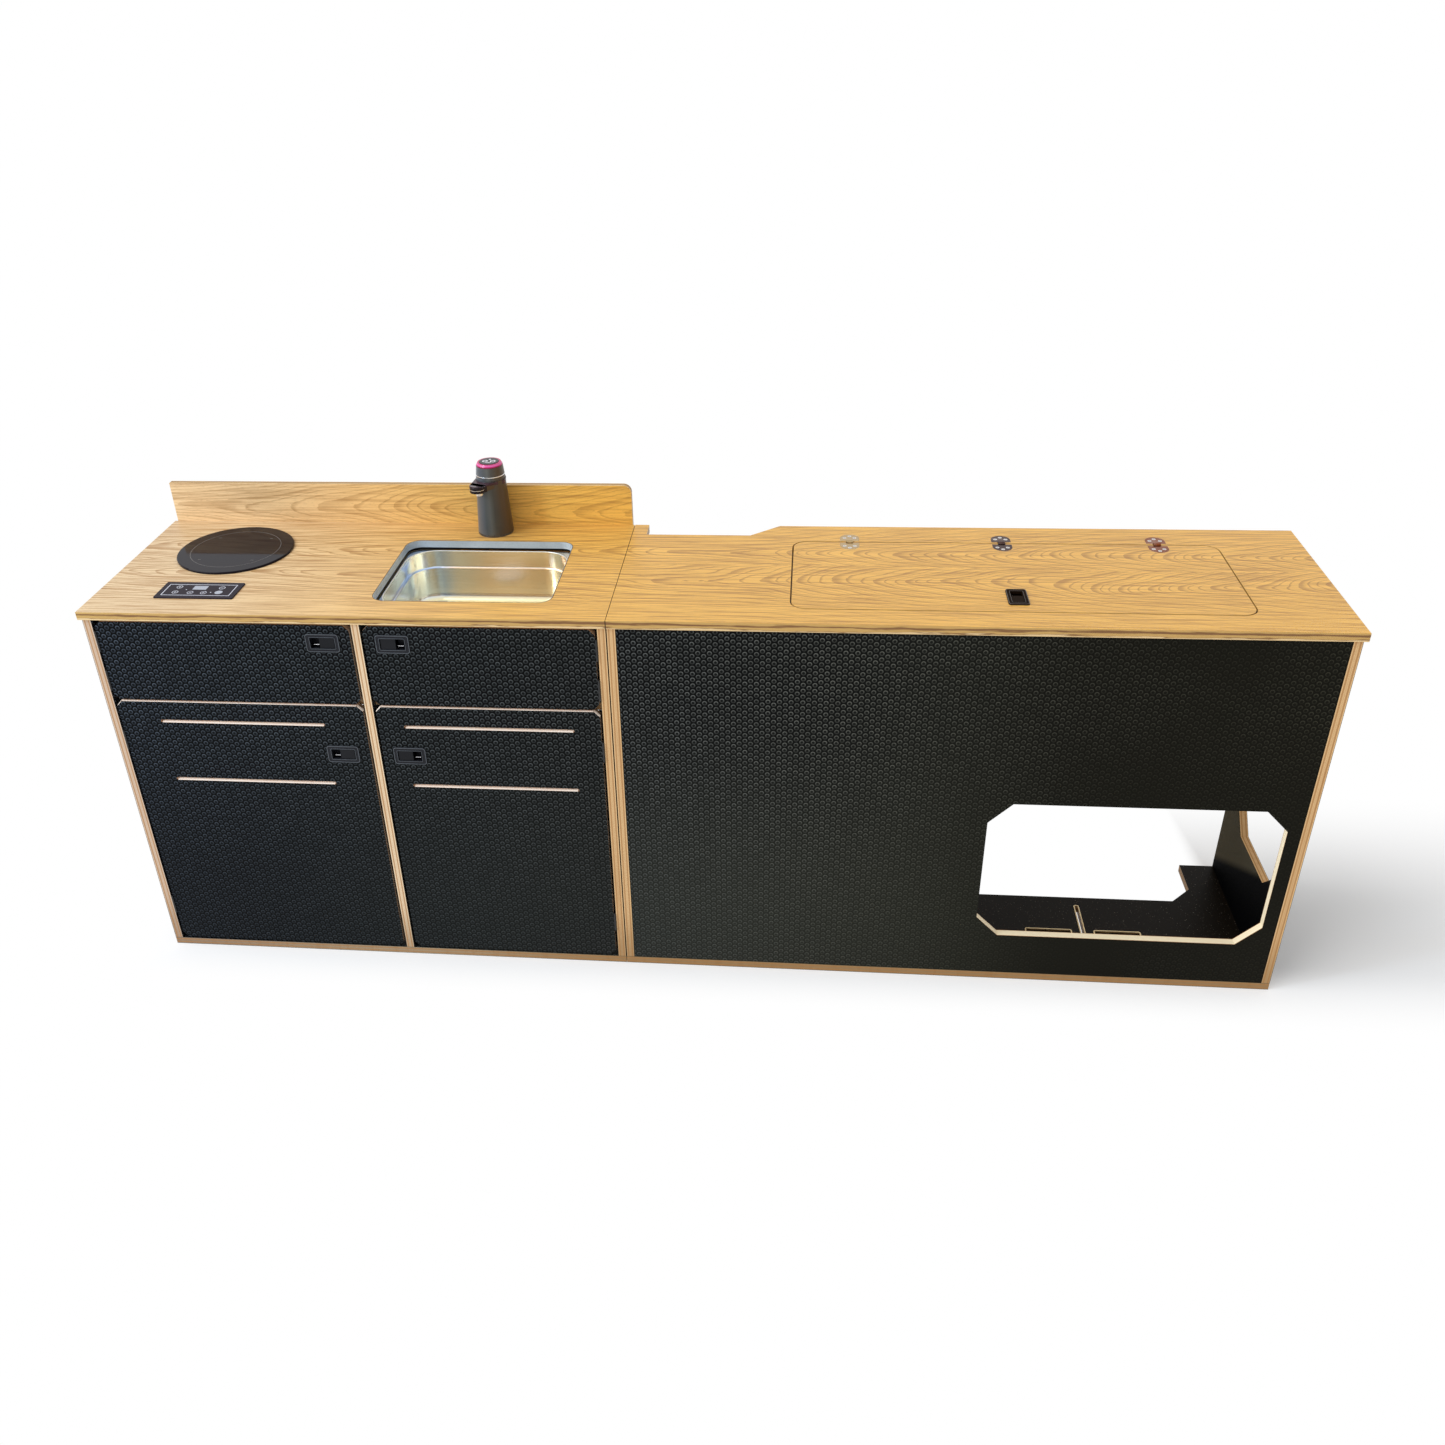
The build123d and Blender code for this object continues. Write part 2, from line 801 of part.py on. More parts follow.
# Slam latches, drawn on the face that they stand in: local X runs towards the
# bolt and local Z out of the face
latch_planes = {
    f"{name}_latch": Plane(
        origin=(door_latch_centre(name)[0], front, door_latch_centre(name)[1]),
        x_dir=(doors[name][3], 0, 0),
        z_dir=(0, -1, 0),
    )
    for name in doors
}
latch_planes["lid_latch"] = Plane(
    origin=(lid_centre[0], lid_latch_y, unit_height),
    x_dir=(0, -1, 0),
    z_dir=(0, 0, 1),
)
cavity_length = housing_length - 2 * housing_wall
cavity_width = housing_width - 2 * housing_wall
cavity_floor = bolt_near + bolt_thickness + bolt_floor_gap


def pivot_plane(face, height):
    """A plane across the paddle's pivot, this far from the latch's middle."""
    origin = face.from_local_coords((pivot_reach, height, -pivot_depth))
    return Plane(origin=origin, x_dir=face.x_dir, z_dir=face.y_dir)


def make_housing(face):
    """Bezel and box of one latch, with its window, finger cup and bolt slot."""
    half_window = window_width / 2
    with BuildPart() as housing:
        with BuildSketch(face):
            RectangleRounded(bezel_length, bezel_width, bezel_corner)
        extrude(amount=bezel_proud)
        fillet(housing.faces().sort_by(Axis(face.origin, face.z_dir))[-1].edges(), bezel_edge)
        with BuildSketch(face):
            RectangleRounded(housing_length, housing_width, housing_corner)
        extrude(amount=-housing_depth)
        with BuildSketch(face.offset(-front_plate)):
            Rectangle(cavity_length, cavity_width)
        extrude(amount=-(cavity_floor - front_plate), mode=Mode.SUBTRACT)
        with BuildSketch(face.offset(bezel_proud)):
            with Locations((window_shift, 0)):
                RectangleRounded(window_length, window_width, window_corner)
        extrude(amount=-(bezel_proud + front_plate), mode=Mode.SUBTRACT)
        with BuildSketch(face.offset(-cup_floor_depth)):
            with Locations((-cavity_length / 2, 0)):
                Rectangle(cup_length, cavity_width, align=(Align.MIN, Align.CENTER))
        extrude(amount=-cup_floor_thickness)
        with BuildSketch(face.offset(-(bolt_near - bolt_guide))):
            with Locations((cavity_length / 2, 0)):
                Rectangle(
                    2 * housing_wall,
                    bolt_width + 2 * bolt_guide,
                    align=(Align.MIN, Align.CENTER),
                )
        extrude(amount=-(bolt_thickness + bolt_guide + bolt_floor_gap), mode=Mode.SUBTRACT)
        for side in (-1, 1):
            height = side * (half_window + stub_length + knuckle_end_gap)
            with BuildSketch(pivot_plane(face, height)):
                Circle(pivot_radius + running_clearance)
            extrude(amount=-side * (stub_length + 2 * knuckle_end_gap), mode=Mode.SUBTRACT)
    return housing


def make_paddle(face):
    """Paddle with its lip, its pivot stubs and the arm that draws the bolt."""
    half_width = paddle_width / 2
    arm_centre = pivot_reach
    with BuildPart() as paddle:
        with BuildSketch(face.offset(paddle_proud)):
            with Locations(((paddle_start + paddle_end) / 2, 0)):
                Rectangle(paddle_end - paddle_start, paddle_width)
        extrude(amount=-paddle_thickness)
        with BuildSketch(face.offset(paddle_proud - paddle_thickness)):
            with Locations((paddle_start, 0)):
                Rectangle(paddle_thickness, paddle_width, align=(Align.MIN, Align.CENTER))
        extrude(amount=-paddle_lip)
        with BuildSketch(face.offset(paddle_proud - paddle_thickness)):
            with Locations((arm_centre, 0)):
                Rectangle(arm_thickness, arm_width)
        extrude(amount=-(arm_tip_depth + paddle_proud - paddle_thickness))
        for side in (-1, 1):
            with BuildSketch(pivot_plane(face, side * (window_width / 2 + stub_length))):
                Circle(pivot_radius)
            extrude(amount=-side * (window_width / 2 + stub_length - half_width / 2))
    return paddle


def make_bolt(face):
    """Spring bolt with a slanted nose and the window that the arm works in."""
    window_half = arm_thickness / 2 + arm_window_gap
    section = Plane(
        origin=face.from_local_coords((0, -bolt_width / 2, 0)),
        x_dir=face.x_dir,
        z_dir=-face.y_dir,
    )
    with BuildPart() as bolt:
        with BuildSketch(section):
            with BuildLine():
                Polyline(
                    (-bolt_tail, -bolt_near),
                    (bolt_reach, -bolt_near),
                    (bolt_reach - bolt_thickness, -(bolt_near + bolt_thickness)),
                    (-bolt_tail, -(bolt_near + bolt_thickness)),
                    close=True,
                )
            make_face()
        extrude(amount=-bolt_width)
        with BuildSketch(face.offset(-bolt_near)):
            with Locations((pivot_reach, 0)):
                Rectangle(2 * window_half, arm_width + 2 * arm_window_gap)
        extrude(amount=-bolt_thickness, mode=Mode.SUBTRACT)
    return bolt


for latch_name, latch_face in latch_planes.items():
    finish(make_housing(latch_face), f"{latch_name}_housing")
    finish(make_paddle(latch_face), f"{latch_name}_paddle")
    finish(make_bolt(latch_face), f"{latch_name}_bolt")

# Keeper blocks on the divider, one behind each door's free edge
keeper_front = front + board + keeper_gap
keeper_back = front + bolt_near - keeper_play
with BuildPart() as door_keepers:
    for door_name, (span, low, high, toward_divider) in doors.items():
        face_x = divider_left if toward_divider > 0 else divider_right
        keeper_x = face_x - toward_divider * keeper_width / 2
        keeper_z = door_latch_centre(door_name)[1]
        with BuildSketch(Plane.XZ.offset(-keeper_back)):
            with Locations((keeper_x, keeper_z)):
                Rectangle(keeper_width, keeper_height)
        extrude(amount=keeper_back - keeper_front)
finish(door_keepers, "door_keepers")

# Lid hinges: leaves let in flush, knuckle in the gap, axis on the surface


def lid_leaf_piece(side, spans):
    """One cast leaf of a lid hinge about the origin, with these knuckle spans."""
    with BuildPart(mode=Mode.PRIVATE) as leaf:
        with BuildSketch(Plane.XY):
            leaf_outline(side, 0)
        extrude(amount=-lid_leaf_thickness)
        for low, high in spans:
            with BuildSketch(Plane.YZ.offset(low)):
                with Locations((side * lid_leaf_parting / 2, -lid_leaf_thickness / 2)):
                    Rectangle(lid_leaf_parting, lid_leaf_thickness)
                Circle(lid_knuckle_radius)
                Circle(lid_pin_radius + running_clearance, mode=Mode.SUBTRACT)
            extrude(amount=high - low)
        for x, y in screw_places:
            with Locations((x, side * y, 0)):
                CounterSinkHole(
                    screw_shank_radius + running_clearance,
                    screw_head_radius + screw_sink + running_clearance,
                    depth=lid_leaf_thickness,
                    counter_sink_angle=countersink_angle,
                )
    return leaf.part


def screw_piece():
    """One countersunk screw, its head's top just below the origin."""
    cone = screw_head_radius - screw_shank_radius
    with BuildPart(mode=Mode.PRIVATE) as screw:
        with BuildSketch(Plane.XZ):
            with BuildLine():
                Polyline(
                    (0, -screw_sink),
                    (screw_head_radius, -screw_sink),
                    (screw_shank_radius, -screw_sink - cone),
                    (screw_shank_radius, -screw_length),
                    (0, -screw_length - screw_shank_radius),
                    close=True,
                )
            make_face()
        revolve(axis=Axis.Z)
        with BuildSketch(Plane.XY.offset(-screw_sink)):
            Rectangle(screw_recess_length, screw_recess_width)
            Rectangle(screw_recess_width, screw_recess_length)
        extrude(amount=-screw_recess_depth, mode=Mode.SUBTRACT)
    return screw.part


half_knuckle = lid_knuckle_width / 2
half_tongue = lid_knuckle_tongue / 2
ear_inner = half_tongue + knuckle_end_gap
fixed_leaf = lid_leaf_piece(1, [(-half_knuckle, -ear_inner), (ear_inner, half_knuckle)])
moving_leaf = lid_leaf_piece(-1, [(-half_tongue, half_tongue)])
lid_screw = screw_piece()

with BuildPart() as lid_hinge_fixed_leaves:
    for x, y in lid_hinge_places:
        with Locations((x, y, unit_height)):
            add(fixed_leaf)
finish(lid_hinge_fixed_leaves, "lid_hinge_fixed_leaves")

with BuildPart() as lid_hinge_moving_leaves:
    for x, y in lid_hinge_places:
        with Locations((x, y, unit_height)):
            add(moving_leaf)
finish(lid_hinge_moving_leaves, "lid_hinge_moving_leaves")

with BuildPart() as lid_hinge_pins:
    for x, y in lid_hinge_places:
        with BuildSketch(Plane.YZ.offset(x - half_knuckle)):
            with Locations((y, unit_height)):
                Circle(lid_pin_radius)
        extrude(amount=lid_knuckle_width)
finish(lid_hinge_pins, "lid_hinge_pins")

for screw_set, side in (("fixed", 1), ("moving", -1)):
    with BuildPart() as screws:
        for hinge_x, hinge_y in lid_hinge_places:
            for x, y in screw_places:
                with Locations((hinge_x + x, hinge_y + side * y, unit_height)):
                    add(lid_screw)
    finish(screws, f"lid_hinge_{screw_set}_screws")

# Seal between the worktop and the sink pan's flange
with BuildPart() as sink_seal:
    with BuildSketch(Plane.XY.offset(carcass_top)):
        with Locations(sink_centre):
            RectangleRounded(pan_flange_length, pan_flange_width, pan_flange_corner)
            RectangleRounded(
                sink_cut_length + 2 * seal_inset,
                sink_cut_width + 2 * seal_inset,
                sink_cut_corner + seal_inset,
                mode=Mode.SUBTRACT,
            )
    extrude(amount=-seal_thickness)
finish(sink_seal, "sink_seal")

# Sink pan with a stepped bowl of one sheet thickness
flange_top = carcass_top - seal_thickness
pan_floor = flange_top - pan_depth


def bowl_body(grow):
    """The bowl's space, grown outwards by this much."""
    step = 2 * pan_step
    with BuildPart(mode=Mode.PRIVATE) as bowl:
        with BuildSketch(Plane.XY.offset(flange_top)):
            with Locations(sink_centre):
                RectangleRounded(pan_length + 2 * grow, pan_width + 2 * grow, pan_corner + grow)
        extrude(amount=-(pan_shoulder_depth + grow))
        shoulder = bowl.faces().sort_by(Axis.Z)[0]
        fillet(shoulder.edges(), pan_shoulder_round + grow)
        with BuildSketch(Plane.XY.offset(flange_top)):
            with Locations(sink_centre):
                RectangleRounded(
                    pan_length - step + 2 * grow,
                    pan_width - step + 2 * grow,
                    pan_corner - pan_step + grow,
                )
        extrude(amount=-(pan_depth + grow))
        fillet(bowl.faces().sort_by(Axis.Z)[0].edges(), pan_floor_round + grow)
    return bowl.part


with BuildPart() as sink_pan:
    with BuildSketch(Plane.XY.offset(flange_top)):
        with Locations(sink_centre):
            RectangleRounded(pan_flange_length, pan_flange_width, pan_flange_corner)
    extrude(amount=-pan_sheet)
    add(bowl_body(pan_sheet))
    add(bowl_body(0), mode=Mode.SUBTRACT)
    with BuildSketch(Plane.XY.offset(pan_floor + overrun)):
        with Locations(sink_centre):
            Circle(waste_hole_radius)
    extrude(amount=-2 * overrun, mode=Mode.SUBTRACT)
finish(sink_pan, "sink_pan")

# Sink waste: strainer flange in the bowl, body and spigot below it
waste_bottom = pan_floor - pan_sheet - waste_body_depth
spigot_height = waste_bottom + waste_body_depth / 2
with BuildPart() as sink_waste:
    with BuildSketch(Plane.XY.offset(pan_floor)):
        with Locations(sink_centre):
            Circle(waste_flange_radius)
    extrude(amount=waste_flange_thickness)
    with BuildSketch(Plane.XY.offset(pan_floor)):
        with Locations(sink_centre):
            Circle(waste_hole_radius - running_clearance)
    extrude(amount=-pan_sheet)
    with BuildSketch(Plane.XY.offset(pan_floor - pan_sheet)):
        with Locations(sink_centre):
            Circle(waste_body_radius)
    extrude(amount=-waste_body_depth)
    with BuildSketch(Plane.XY.offset(pan_floor + waste_flange_thickness)):
        with Locations(sink_centre):
            with PolarLocations(strainer_ring_radius, strainer_holes):
                Circle(strainer_hole_radius)
            Circle(strainer_hole_radius)
    extrude(amount=-2 * waste_flange_thickness, mode=Mode.SUBTRACT)
    for radius, reach in (
        (waste_collar_radius, waste_body_radius + waste_collar_reach),
        (waste_spigot_radius, waste_spigot_reach),
    ):
        with BuildSketch(Plane.XZ.offset(-sink_centre[1])):
            with Locations((sink_centre[0], spigot_height)):
                Circle(radius)
        extrude(amount=-reach)
finish(sink_waste, "sink_waste")

# Hob: a round glass on the worktop, its body below
with BuildPart() as hob_glass:
    with BuildSketch(Plane.XY.offset(unit_height)):
        with Locations(hob_centre):
            Circle(hob_diameter / 2)
    extrude(amount=hob_glass_thickness)
    chamfer(hob_glass.faces().sort_by(Axis.Z)[-1].edges(), hob_glass_edge)
finish(hob_glass, "hob_glass")

with BuildPart() as hob_housing:
    with BuildSketch(Plane.XY.offset(unit_height)):
        with Locations(hob_centre):
            Circle(hob_body_diameter / 2)
    extrude(amount=-hob_body_depth)
finish(hob_housing, "hob_housing")

# Touch panel of the hob
with BuildPart() as control_panel:
    with BuildSketch(Plane.XY.offset(unit_height)):
        with Locations(control_centre):
            RectangleRounded(control_length, control_width, control_corner)
    extrude(amount=control_plate)
    fillet(control_panel.faces().sort_by(Axis.Z)[-1].edges(), control_plate / 4)
    with BuildSketch(Plane.XY.offset(unit_height)):
        with Locations(control_centre):
            Rectangle(control_body_length, control_body_width)
    extrude(amount=-control_depth)
finish(control_panel, "control_panel")

# Tap, drawn about its upright axis
tap_axis = Plane(origin=(tap_centre[0], tap_centre[1], unit_height))
spout_direction = (-sin(spout_yaw * pi / 180), -cos(spout_yaw * pi / 180))


def revolved(points):
    """Turn a closed outline of radii and heights about the tap's axis."""
    with BuildPart(mode=Mode.PRIVATE) as turned:
        with BuildSketch(Plane.XZ):
            with BuildLine():
                Polyline(*points, close=True)
            make_face()
        revolve(axis=Axis.Z)
    return turned.part


shank_end = -tap_shank_depth
with BuildPart() as tap_base:
    with Locations(tap_axis.location):
        add(
            revolved(
                [
                    (0, tap_base_height),
                    (tap_base_radius, tap_base_height),
                    (tap_base_radius, 0),
                    (tap_shank_radius, 0),
                    (tap_shank_radius, shank_end),
                    (tap_inlet_radius, shank_end),
                    (tap_inlet_radius, shank_end - tap_inlet_length),
                    (0, shank_end - tap_inlet_length),
                ]
            )
        )
finish(tap_base, "tap_base")

# Tap body with its beak
tap_low = tap_base_height + tap_turn_gap
spout_top = tap_neck_height - spout_top_drop
tip_centre = (spout_reach * spout_direction[0], spout_reach * spout_direction[1])
with BuildPart() as tap_body:
    with Locations(tap_axis.location):
        add(
            revolved(
                [
                    (0, tap_low),
                    (tap_base_radius, tap_low),
                    (tap_neck_radius, tap_neck_height),
                    (0, tap_neck_height),
                ]
            )
        )
    with BuildSketch(tap_axis.offset(spout_top)):
        Circle(tap_neck_radius - spout_round)
        with Locations(tip_centre):
            Circle(spout_tip_radius)
        make_hull()
    extrude(amount=-spout_thickness)
finish(tap_body, "tap_body")

# Tap head above the neck, hollow at the top for the button
head_low = tap_neck_height + tap_band_height
seat_height = tap_head_height + tap_ring_height - tap_button_height - tap_button_travel
with BuildPart() as tap_head:
    with Locations(tap_axis.location):
        add(
            revolved(
                [
                    (0, tap_neck_height),
                    (tap_neck_radius - tap_band_depth, tap_neck_height),
                    (tap_neck_radius - tap_band_depth, head_low),
                    (tap_neck_radius, head_low),
                    (tap_head_radius, tap_head_height),
                    (tap_button_radius + tap_button_gap, tap_head_height),
                    (tap_button_radius + tap_button_gap, seat_height - tap_button_gap),
                    (0, seat_height - tap_button_gap),
                ]
            )
        )
finish(tap_head, "tap_head")

# Light ring round the button
ring_top = tap_head_height + tap_ring_height
with BuildPart() as tap_ring:
    with Locations(tap_axis.location):
        add(
            revolved(
                [
                    (tap_button_radius + tap_button_gap, tap_head_height),
                    (tap_ring_radius, tap_head_height),
                    (tap_ring_radius, tap_head_height + tap_ring_height / 3),
                    (tap_ring_top_radius, ring_top),
                    (tap_button_radius + tap_button_gap, ring_top),
                ]
            )
        )
finish(tap_ring, "tap_ring")

# Button in the tap's top
button_low = ring_top - tap_button_height
button_edge = ring_top + tap_button_dome / 2
with BuildPart() as tap_button:
    with Locations(tap_axis.location):
        add(
            revolved(
                [
                    (0, button_low),
                    (tap_button_radius, button_low),
                    (tap_button_radius, button_edge),
                    (tap_button_radius - tap_button_dome, ring_top + tap_button_dome),
                    (0, ring_top + tap_button_dome),
                ]
            )
        )
finish(tap_button, "tap_button")

# Aerator under the beak's tip
aerator_top = spout_top - spout_thickness
with BuildPart() as tap_aerator:
    with BuildSketch(tap_axis.offset(aerator_top)):
        with Locations(tip_centre):
            Circle(aerator_radius)
    extrude(amount=-aerator_length)
    with BuildSketch(tap_axis.offset(aerator_top - aerator_length)):
        with Locations(tip_centre):
            Circle(aerator_radius - aerator_wall)
    extrude(amount=aerator_bore_depth, mode=Mode.SUBTRACT)
finish(tap_aerator, "tap_aerator")
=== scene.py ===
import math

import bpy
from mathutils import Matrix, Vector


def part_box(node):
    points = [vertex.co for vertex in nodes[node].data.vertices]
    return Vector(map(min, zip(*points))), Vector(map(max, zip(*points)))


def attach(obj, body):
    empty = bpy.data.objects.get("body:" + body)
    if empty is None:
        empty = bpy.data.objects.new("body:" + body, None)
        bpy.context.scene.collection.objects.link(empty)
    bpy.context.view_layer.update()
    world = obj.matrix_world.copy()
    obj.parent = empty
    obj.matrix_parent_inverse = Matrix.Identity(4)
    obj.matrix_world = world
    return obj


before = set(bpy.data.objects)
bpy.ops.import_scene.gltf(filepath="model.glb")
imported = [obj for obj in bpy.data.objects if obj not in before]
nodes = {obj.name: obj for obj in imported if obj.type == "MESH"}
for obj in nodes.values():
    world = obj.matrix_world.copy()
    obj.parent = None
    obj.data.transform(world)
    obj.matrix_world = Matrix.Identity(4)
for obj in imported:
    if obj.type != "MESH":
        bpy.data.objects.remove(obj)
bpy.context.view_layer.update()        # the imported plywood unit, one mesh for each node

# %% [markdown]
# # A van's side unit in plywood
#
# Two plywood pods stand side by side: a small kitchen on the left and a
# locker on the right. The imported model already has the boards, doors,
# latches, hinges, sink, hob and tap at their real sizes. This lesson gives
# each of them its finish, and adds the thin trims that are too fine for the
# solid model, such as the lining of the sink cut-out, the pale lips of the
# doors, the rims of the latches, the marks on the hob and its touch panel,
# and the trims of the tap.

# %% [markdown]
# ## Camera
#
# The photograph was taken standing up, a little right of the middle, and
# looking down by about thirty degrees. A camera could be aimed with a
# constraint, but its place and three angles say the same in plain numbers:
# a heading, a tilt and a slight roll. The small shift belongs to the way the
# photograph was cropped.

# %% Camera
camera_place = (0.1820, -2.0837, 1.6714)
camera_heading = 6.767
camera_tilt = 58.61
camera_roll = -2.098
lens = 32.457
sensor = 36.0
shift_right = 0.0364
shift_up = 0.0075


def add_object(name, data):
    thing = bpy.data.objects.new(name, data)
    bpy.context.scene.collection.objects.link(thing)
    return thing


camera_data = bpy.data.cameras.new("camera")
camera_data.lens = lens
camera_data.sensor_width = sensor
camera_data.shift_x = shift_right
camera_data.shift_y = shift_up
camera = add_object("camera", camera_data)
camera.matrix_world = (
    Matrix.Translation(camera_place)
    @ Matrix.Rotation(math.radians(camera_heading), 4, "Z")
    @ Matrix.Rotation(math.radians(camera_tilt), 4, "X")
    @ Matrix.Rotation(math.radians(camera_roll), 4, "Z")
)
bpy.context.scene.camera = camera
bpy.context.scene.view_settings.view_transform = "Standard"
print("camera at", camera_place)

# %% [markdown]
# ## Node helpers
#
# A material is a small graph, and most of it is arithmetic. Wiring each
# socket by hand hides the idea, so a few short helpers put a node down and
# feed its sockets with numbers, colours or other nodes. A socket knows the
# graph that it belongs to, so only the first node needs to be told.
#
# Many finishes change over a stretch of the board. Such a range is written
# (from, to), or (from, to, value there, value here) where it doesn't run
# from 0 to 1.

# %% Arithmetic helpers
def is_socket(source):
    return isinstance(source, bpy.types.NodeSocket)


def graph_of(*sources):
    return next(source.id_data for source in sources if is_socket(source))


def put(tree, kind, **settings):
    node = tree.nodes.new(kind)
    for key, value in settings.items():
        setattr(node, key, value)
    return node


def feed(socket, source):
    if is_socket(source):
        socket.id_data.links.new(source, socket)
    else:
        socket.default_value = source


def calc(operation, *sources, kind="ShaderNodeMath"):
    node = put(graph_of(*sources), kind, operation=operation)
    for socket, source in zip(node.inputs, sources):
        feed(socket, source)
    is_number = kind == "ShaderNodeMath" or operation == "LENGTH"
    return node.outputs["Value" if is_number else "Vector"]


def calc_vector(operation, *sources):
    return calc(operation, *sources, kind="ShaderNodeVectorMath")


def plus(first, second):
    return calc("ADD", first, second)


def minus(first, second):
    return calc("SUBTRACT", first, second)


def times(first, second):
    return calc("MULTIPLY", first, second)


def over(first, second):
    return calc("DIVIDE", first, second)


def size_of(value):
    return calc("ABSOLUTE", value)


def largest(first, *others):
    for other in others:
        first = calc("MAXIMUM", first, other)
    return first


def share_between(value, low, high):
    """How far a value has come from low to high, from 0 to 1."""
    return over(minus(value, low), high - low)


print("arithmetic helpers ready")

# %% Pattern and colour helpers
def split(vector):
    node = put(graph_of(vector), "ShaderNodeSeparateXYZ")
    feed(node.inputs[0], vector)
    return node.outputs


def join(*parts):
    node = put(graph_of(*parts), "ShaderNodeCombineXYZ")
    for socket, source in zip(node.inputs, parts):
        feed(socket, source)
    return node.outputs[0]


def noise(vector, scale=1.0, detail=2.0, roughness=0.5):
    node = put(graph_of(vector), "ShaderNodeTexNoise")
    feed(node.inputs["Vector"], vector)
    node.inputs["Scale"].default_value = scale
    node.inputs["Detail"].default_value = detail
    node.inputs["Roughness"].default_value = roughness
    return node.outputs[0]


def stretched_noise(vector, stretch, detail=2.0, roughness=0.5):
    return noise(calc_vector("MULTIPLY", vector, stretch), 1.0, detail, roughness)


def spread_value(value, low, high, new_low=0.0, new_high=1.0):
    node = put(graph_of(value), "ShaderNodeMapRange", interpolation_type="SMOOTHSTEP")
    for socket, source in zip(node.inputs, (value, low, high, new_low, new_high)):
        feed(socket, source)
    return node.outputs[0]


def opaque(colour):
    return (*colour, 1.0)


def blend_colour(share, first, second, how="MIX"):
    node = put(graph_of(share, first, second), "ShaderNodeMix", data_type="RGBA", blend_type=how)
    feed(node.inputs["Factor"], share)
    for name, source in (("A", first), ("B", second)):
        socket = next(s for s in node.inputs if s.name == name and s.type == "RGBA")
        feed(socket, source if is_socket(source) else opaque(source))
    return next(s for s in node.outputs if s.type == "RGBA")


def ramp(value, stops):
    node = put(graph_of(value), "ShaderNodeValToRGB")
    marks = node.color_ramp.elements
    while len(marks) < len(stops):
        marks.new(0.5)
    for mark, (place, colour) in zip(marks, stops):
        mark.position = place
        mark.color = opaque(colour)
    feed(node.inputs[0], value)
    return node.outputs[0]


print("pattern helpers ready")

# %% Material helpers
noise_range = (0.3, 0.7)        # most of a noise lies between these


def new_finish(name, roughness=0.5, metal=0.0, gloss=0.5):
    material = bpy.data.materials.new(name)
    material.use_nodes = True
    shader = material.node_tree.nodes["Principled BSDF"]
    shader.inputs["Roughness"].default_value = roughness
    shader.inputs["Metallic"].default_value = metal
    shader.inputs["Specular IOR Level"].default_value = gloss
    coordinates = put(material.node_tree, "ShaderNodeTexCoord")
    return material, shader, coordinates.outputs["Object"], coordinates.outputs["Normal"]


def raise_surface(shader, height, distance, strength=1.0):
    node = put(graph_of(height), "ShaderNodeBump")
    node.inputs["Distance"].default_value = distance
    node.inputs["Strength"].default_value = strength
    feed(node.inputs["Height"], height)
    feed(shader.inputs["Normal"], node.outputs[0])


def roughen(shader, grain, roughness, uneven):
    """Moves the roughness up and down with a grain."""
    rough = spread_value(grain, *noise_range, roughness - uneven, roughness + uneven)
    feed(shader.inputs["Roughness"], rough)


def paint(shader, colour):
    feed(shader.inputs["Base Color"], colour)


def dress(material, names):
    for name in names:
        for slot in nodes[name].material_slots:
            slot.material = material
    print(material.name, "on", len(names), "nodes")


def box_middle(name):
    low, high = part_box(name)
    return (low + high) / 2


def thinnest(board):
    """The direction of a board's thickness: 0, 1 or 2 for x, y or z."""
    low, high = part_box(board)
    return min(range(3), key=lambda i: high[i] - low[i])


print("material helpers ready")

# %% [markdown]
# ## Oak faces
#
# The worktops, the lid and the splashback are plywood with an oak veneer
# under satin lacquer. Flat-sawn oak shows nested arches where the saw cuts
# the growth rings at a low angle. A wave texture gives only straight bands.
# The rings are therefore worked out as cones round a heart: the distance
# from a line behind the board, less a slow taper along the grain, gives the
# arches by itself. The veneer has two leaves, so there are two hearts, and a
# point follows the nearer one. The taper grows past a certain place, where
# the arches stand closer. Stretched noise adds streaks and open pores.
#
# The cut edges of the same boards show their glued layers. The surface
# normal tells a face from an edge, so one material serves the whole board.
# Inside the narrow seam between the two worktops the edges are painted dark, a painted shade of the gap.

# %% Oak tones
# The left ends are painted paler, a painted glare of the window light, and turn golden towards the right.
oak_pale = (0.80, 0.590, 0.345)
oak_gold = (0.86, 0.485, 0.104)
oak_dark = (0.36, 0.165, 0.038)
oak_pore = (0.30, 0.13, 0.03)
splash_pale = (0.94, 0.66, 0.355)
splash_gold = (0.95, 0.565, 0.115)
edge_cream = (0.76, 0.53, 0.26)
edge_gold = (0.56, 0.335, 0.100)
edge_brown = (0.22, 0.10, 0.030)
seam_shade = (0.030, 0.016, 0.008)
glare_to_gold = (-0.95, -0.25)
lacquer_roughness = 0.38
lacquer_gloss = 0.35
print("oak turns golden from", glare_to_gold[0], "to", glare_to_gold[1])

# %% Oak values
ring_pitch = 0.0150
ring_lines = ((1.0, 0.88), (3.0, 0.95))        # lines in one pitch, and how dark they are
late_wood_range = (0.68, 0.93)
late_wood_end = (0.95, 1.0, 1.0, 0.0)
heart_depth = 0.030
heart_range = (0.07, 0.13, 1.0, 0.45)
heart_wander = 0.05
wander_scale = (2.0, 5.0)
arch_from = 0.12
ring_swell = 0.060
swell_scale = (2.2, 8.0)
ring_jag = 0.0018
jag_scale = (55.0, 120.0)
streak_scale = (6.0, 230.0)
streak_range = (0.42, 0.66)
streak_dark = 0.75
broken_range = (0.3, 0.65)
broken_least = 0.50
pore_scale = (90.0, 1900.0)
pore_range = (0.64, 0.76)
pore_dark = 0.6
pore_depth = 0.00015
edge_stretch = (13.0, 13.0, 200.0)
edge_waver = 0.70
face_range = (0.6, 0.8)
seam_margin = 0.0002
print("one oak ring every", ring_pitch * 1000, "mm")

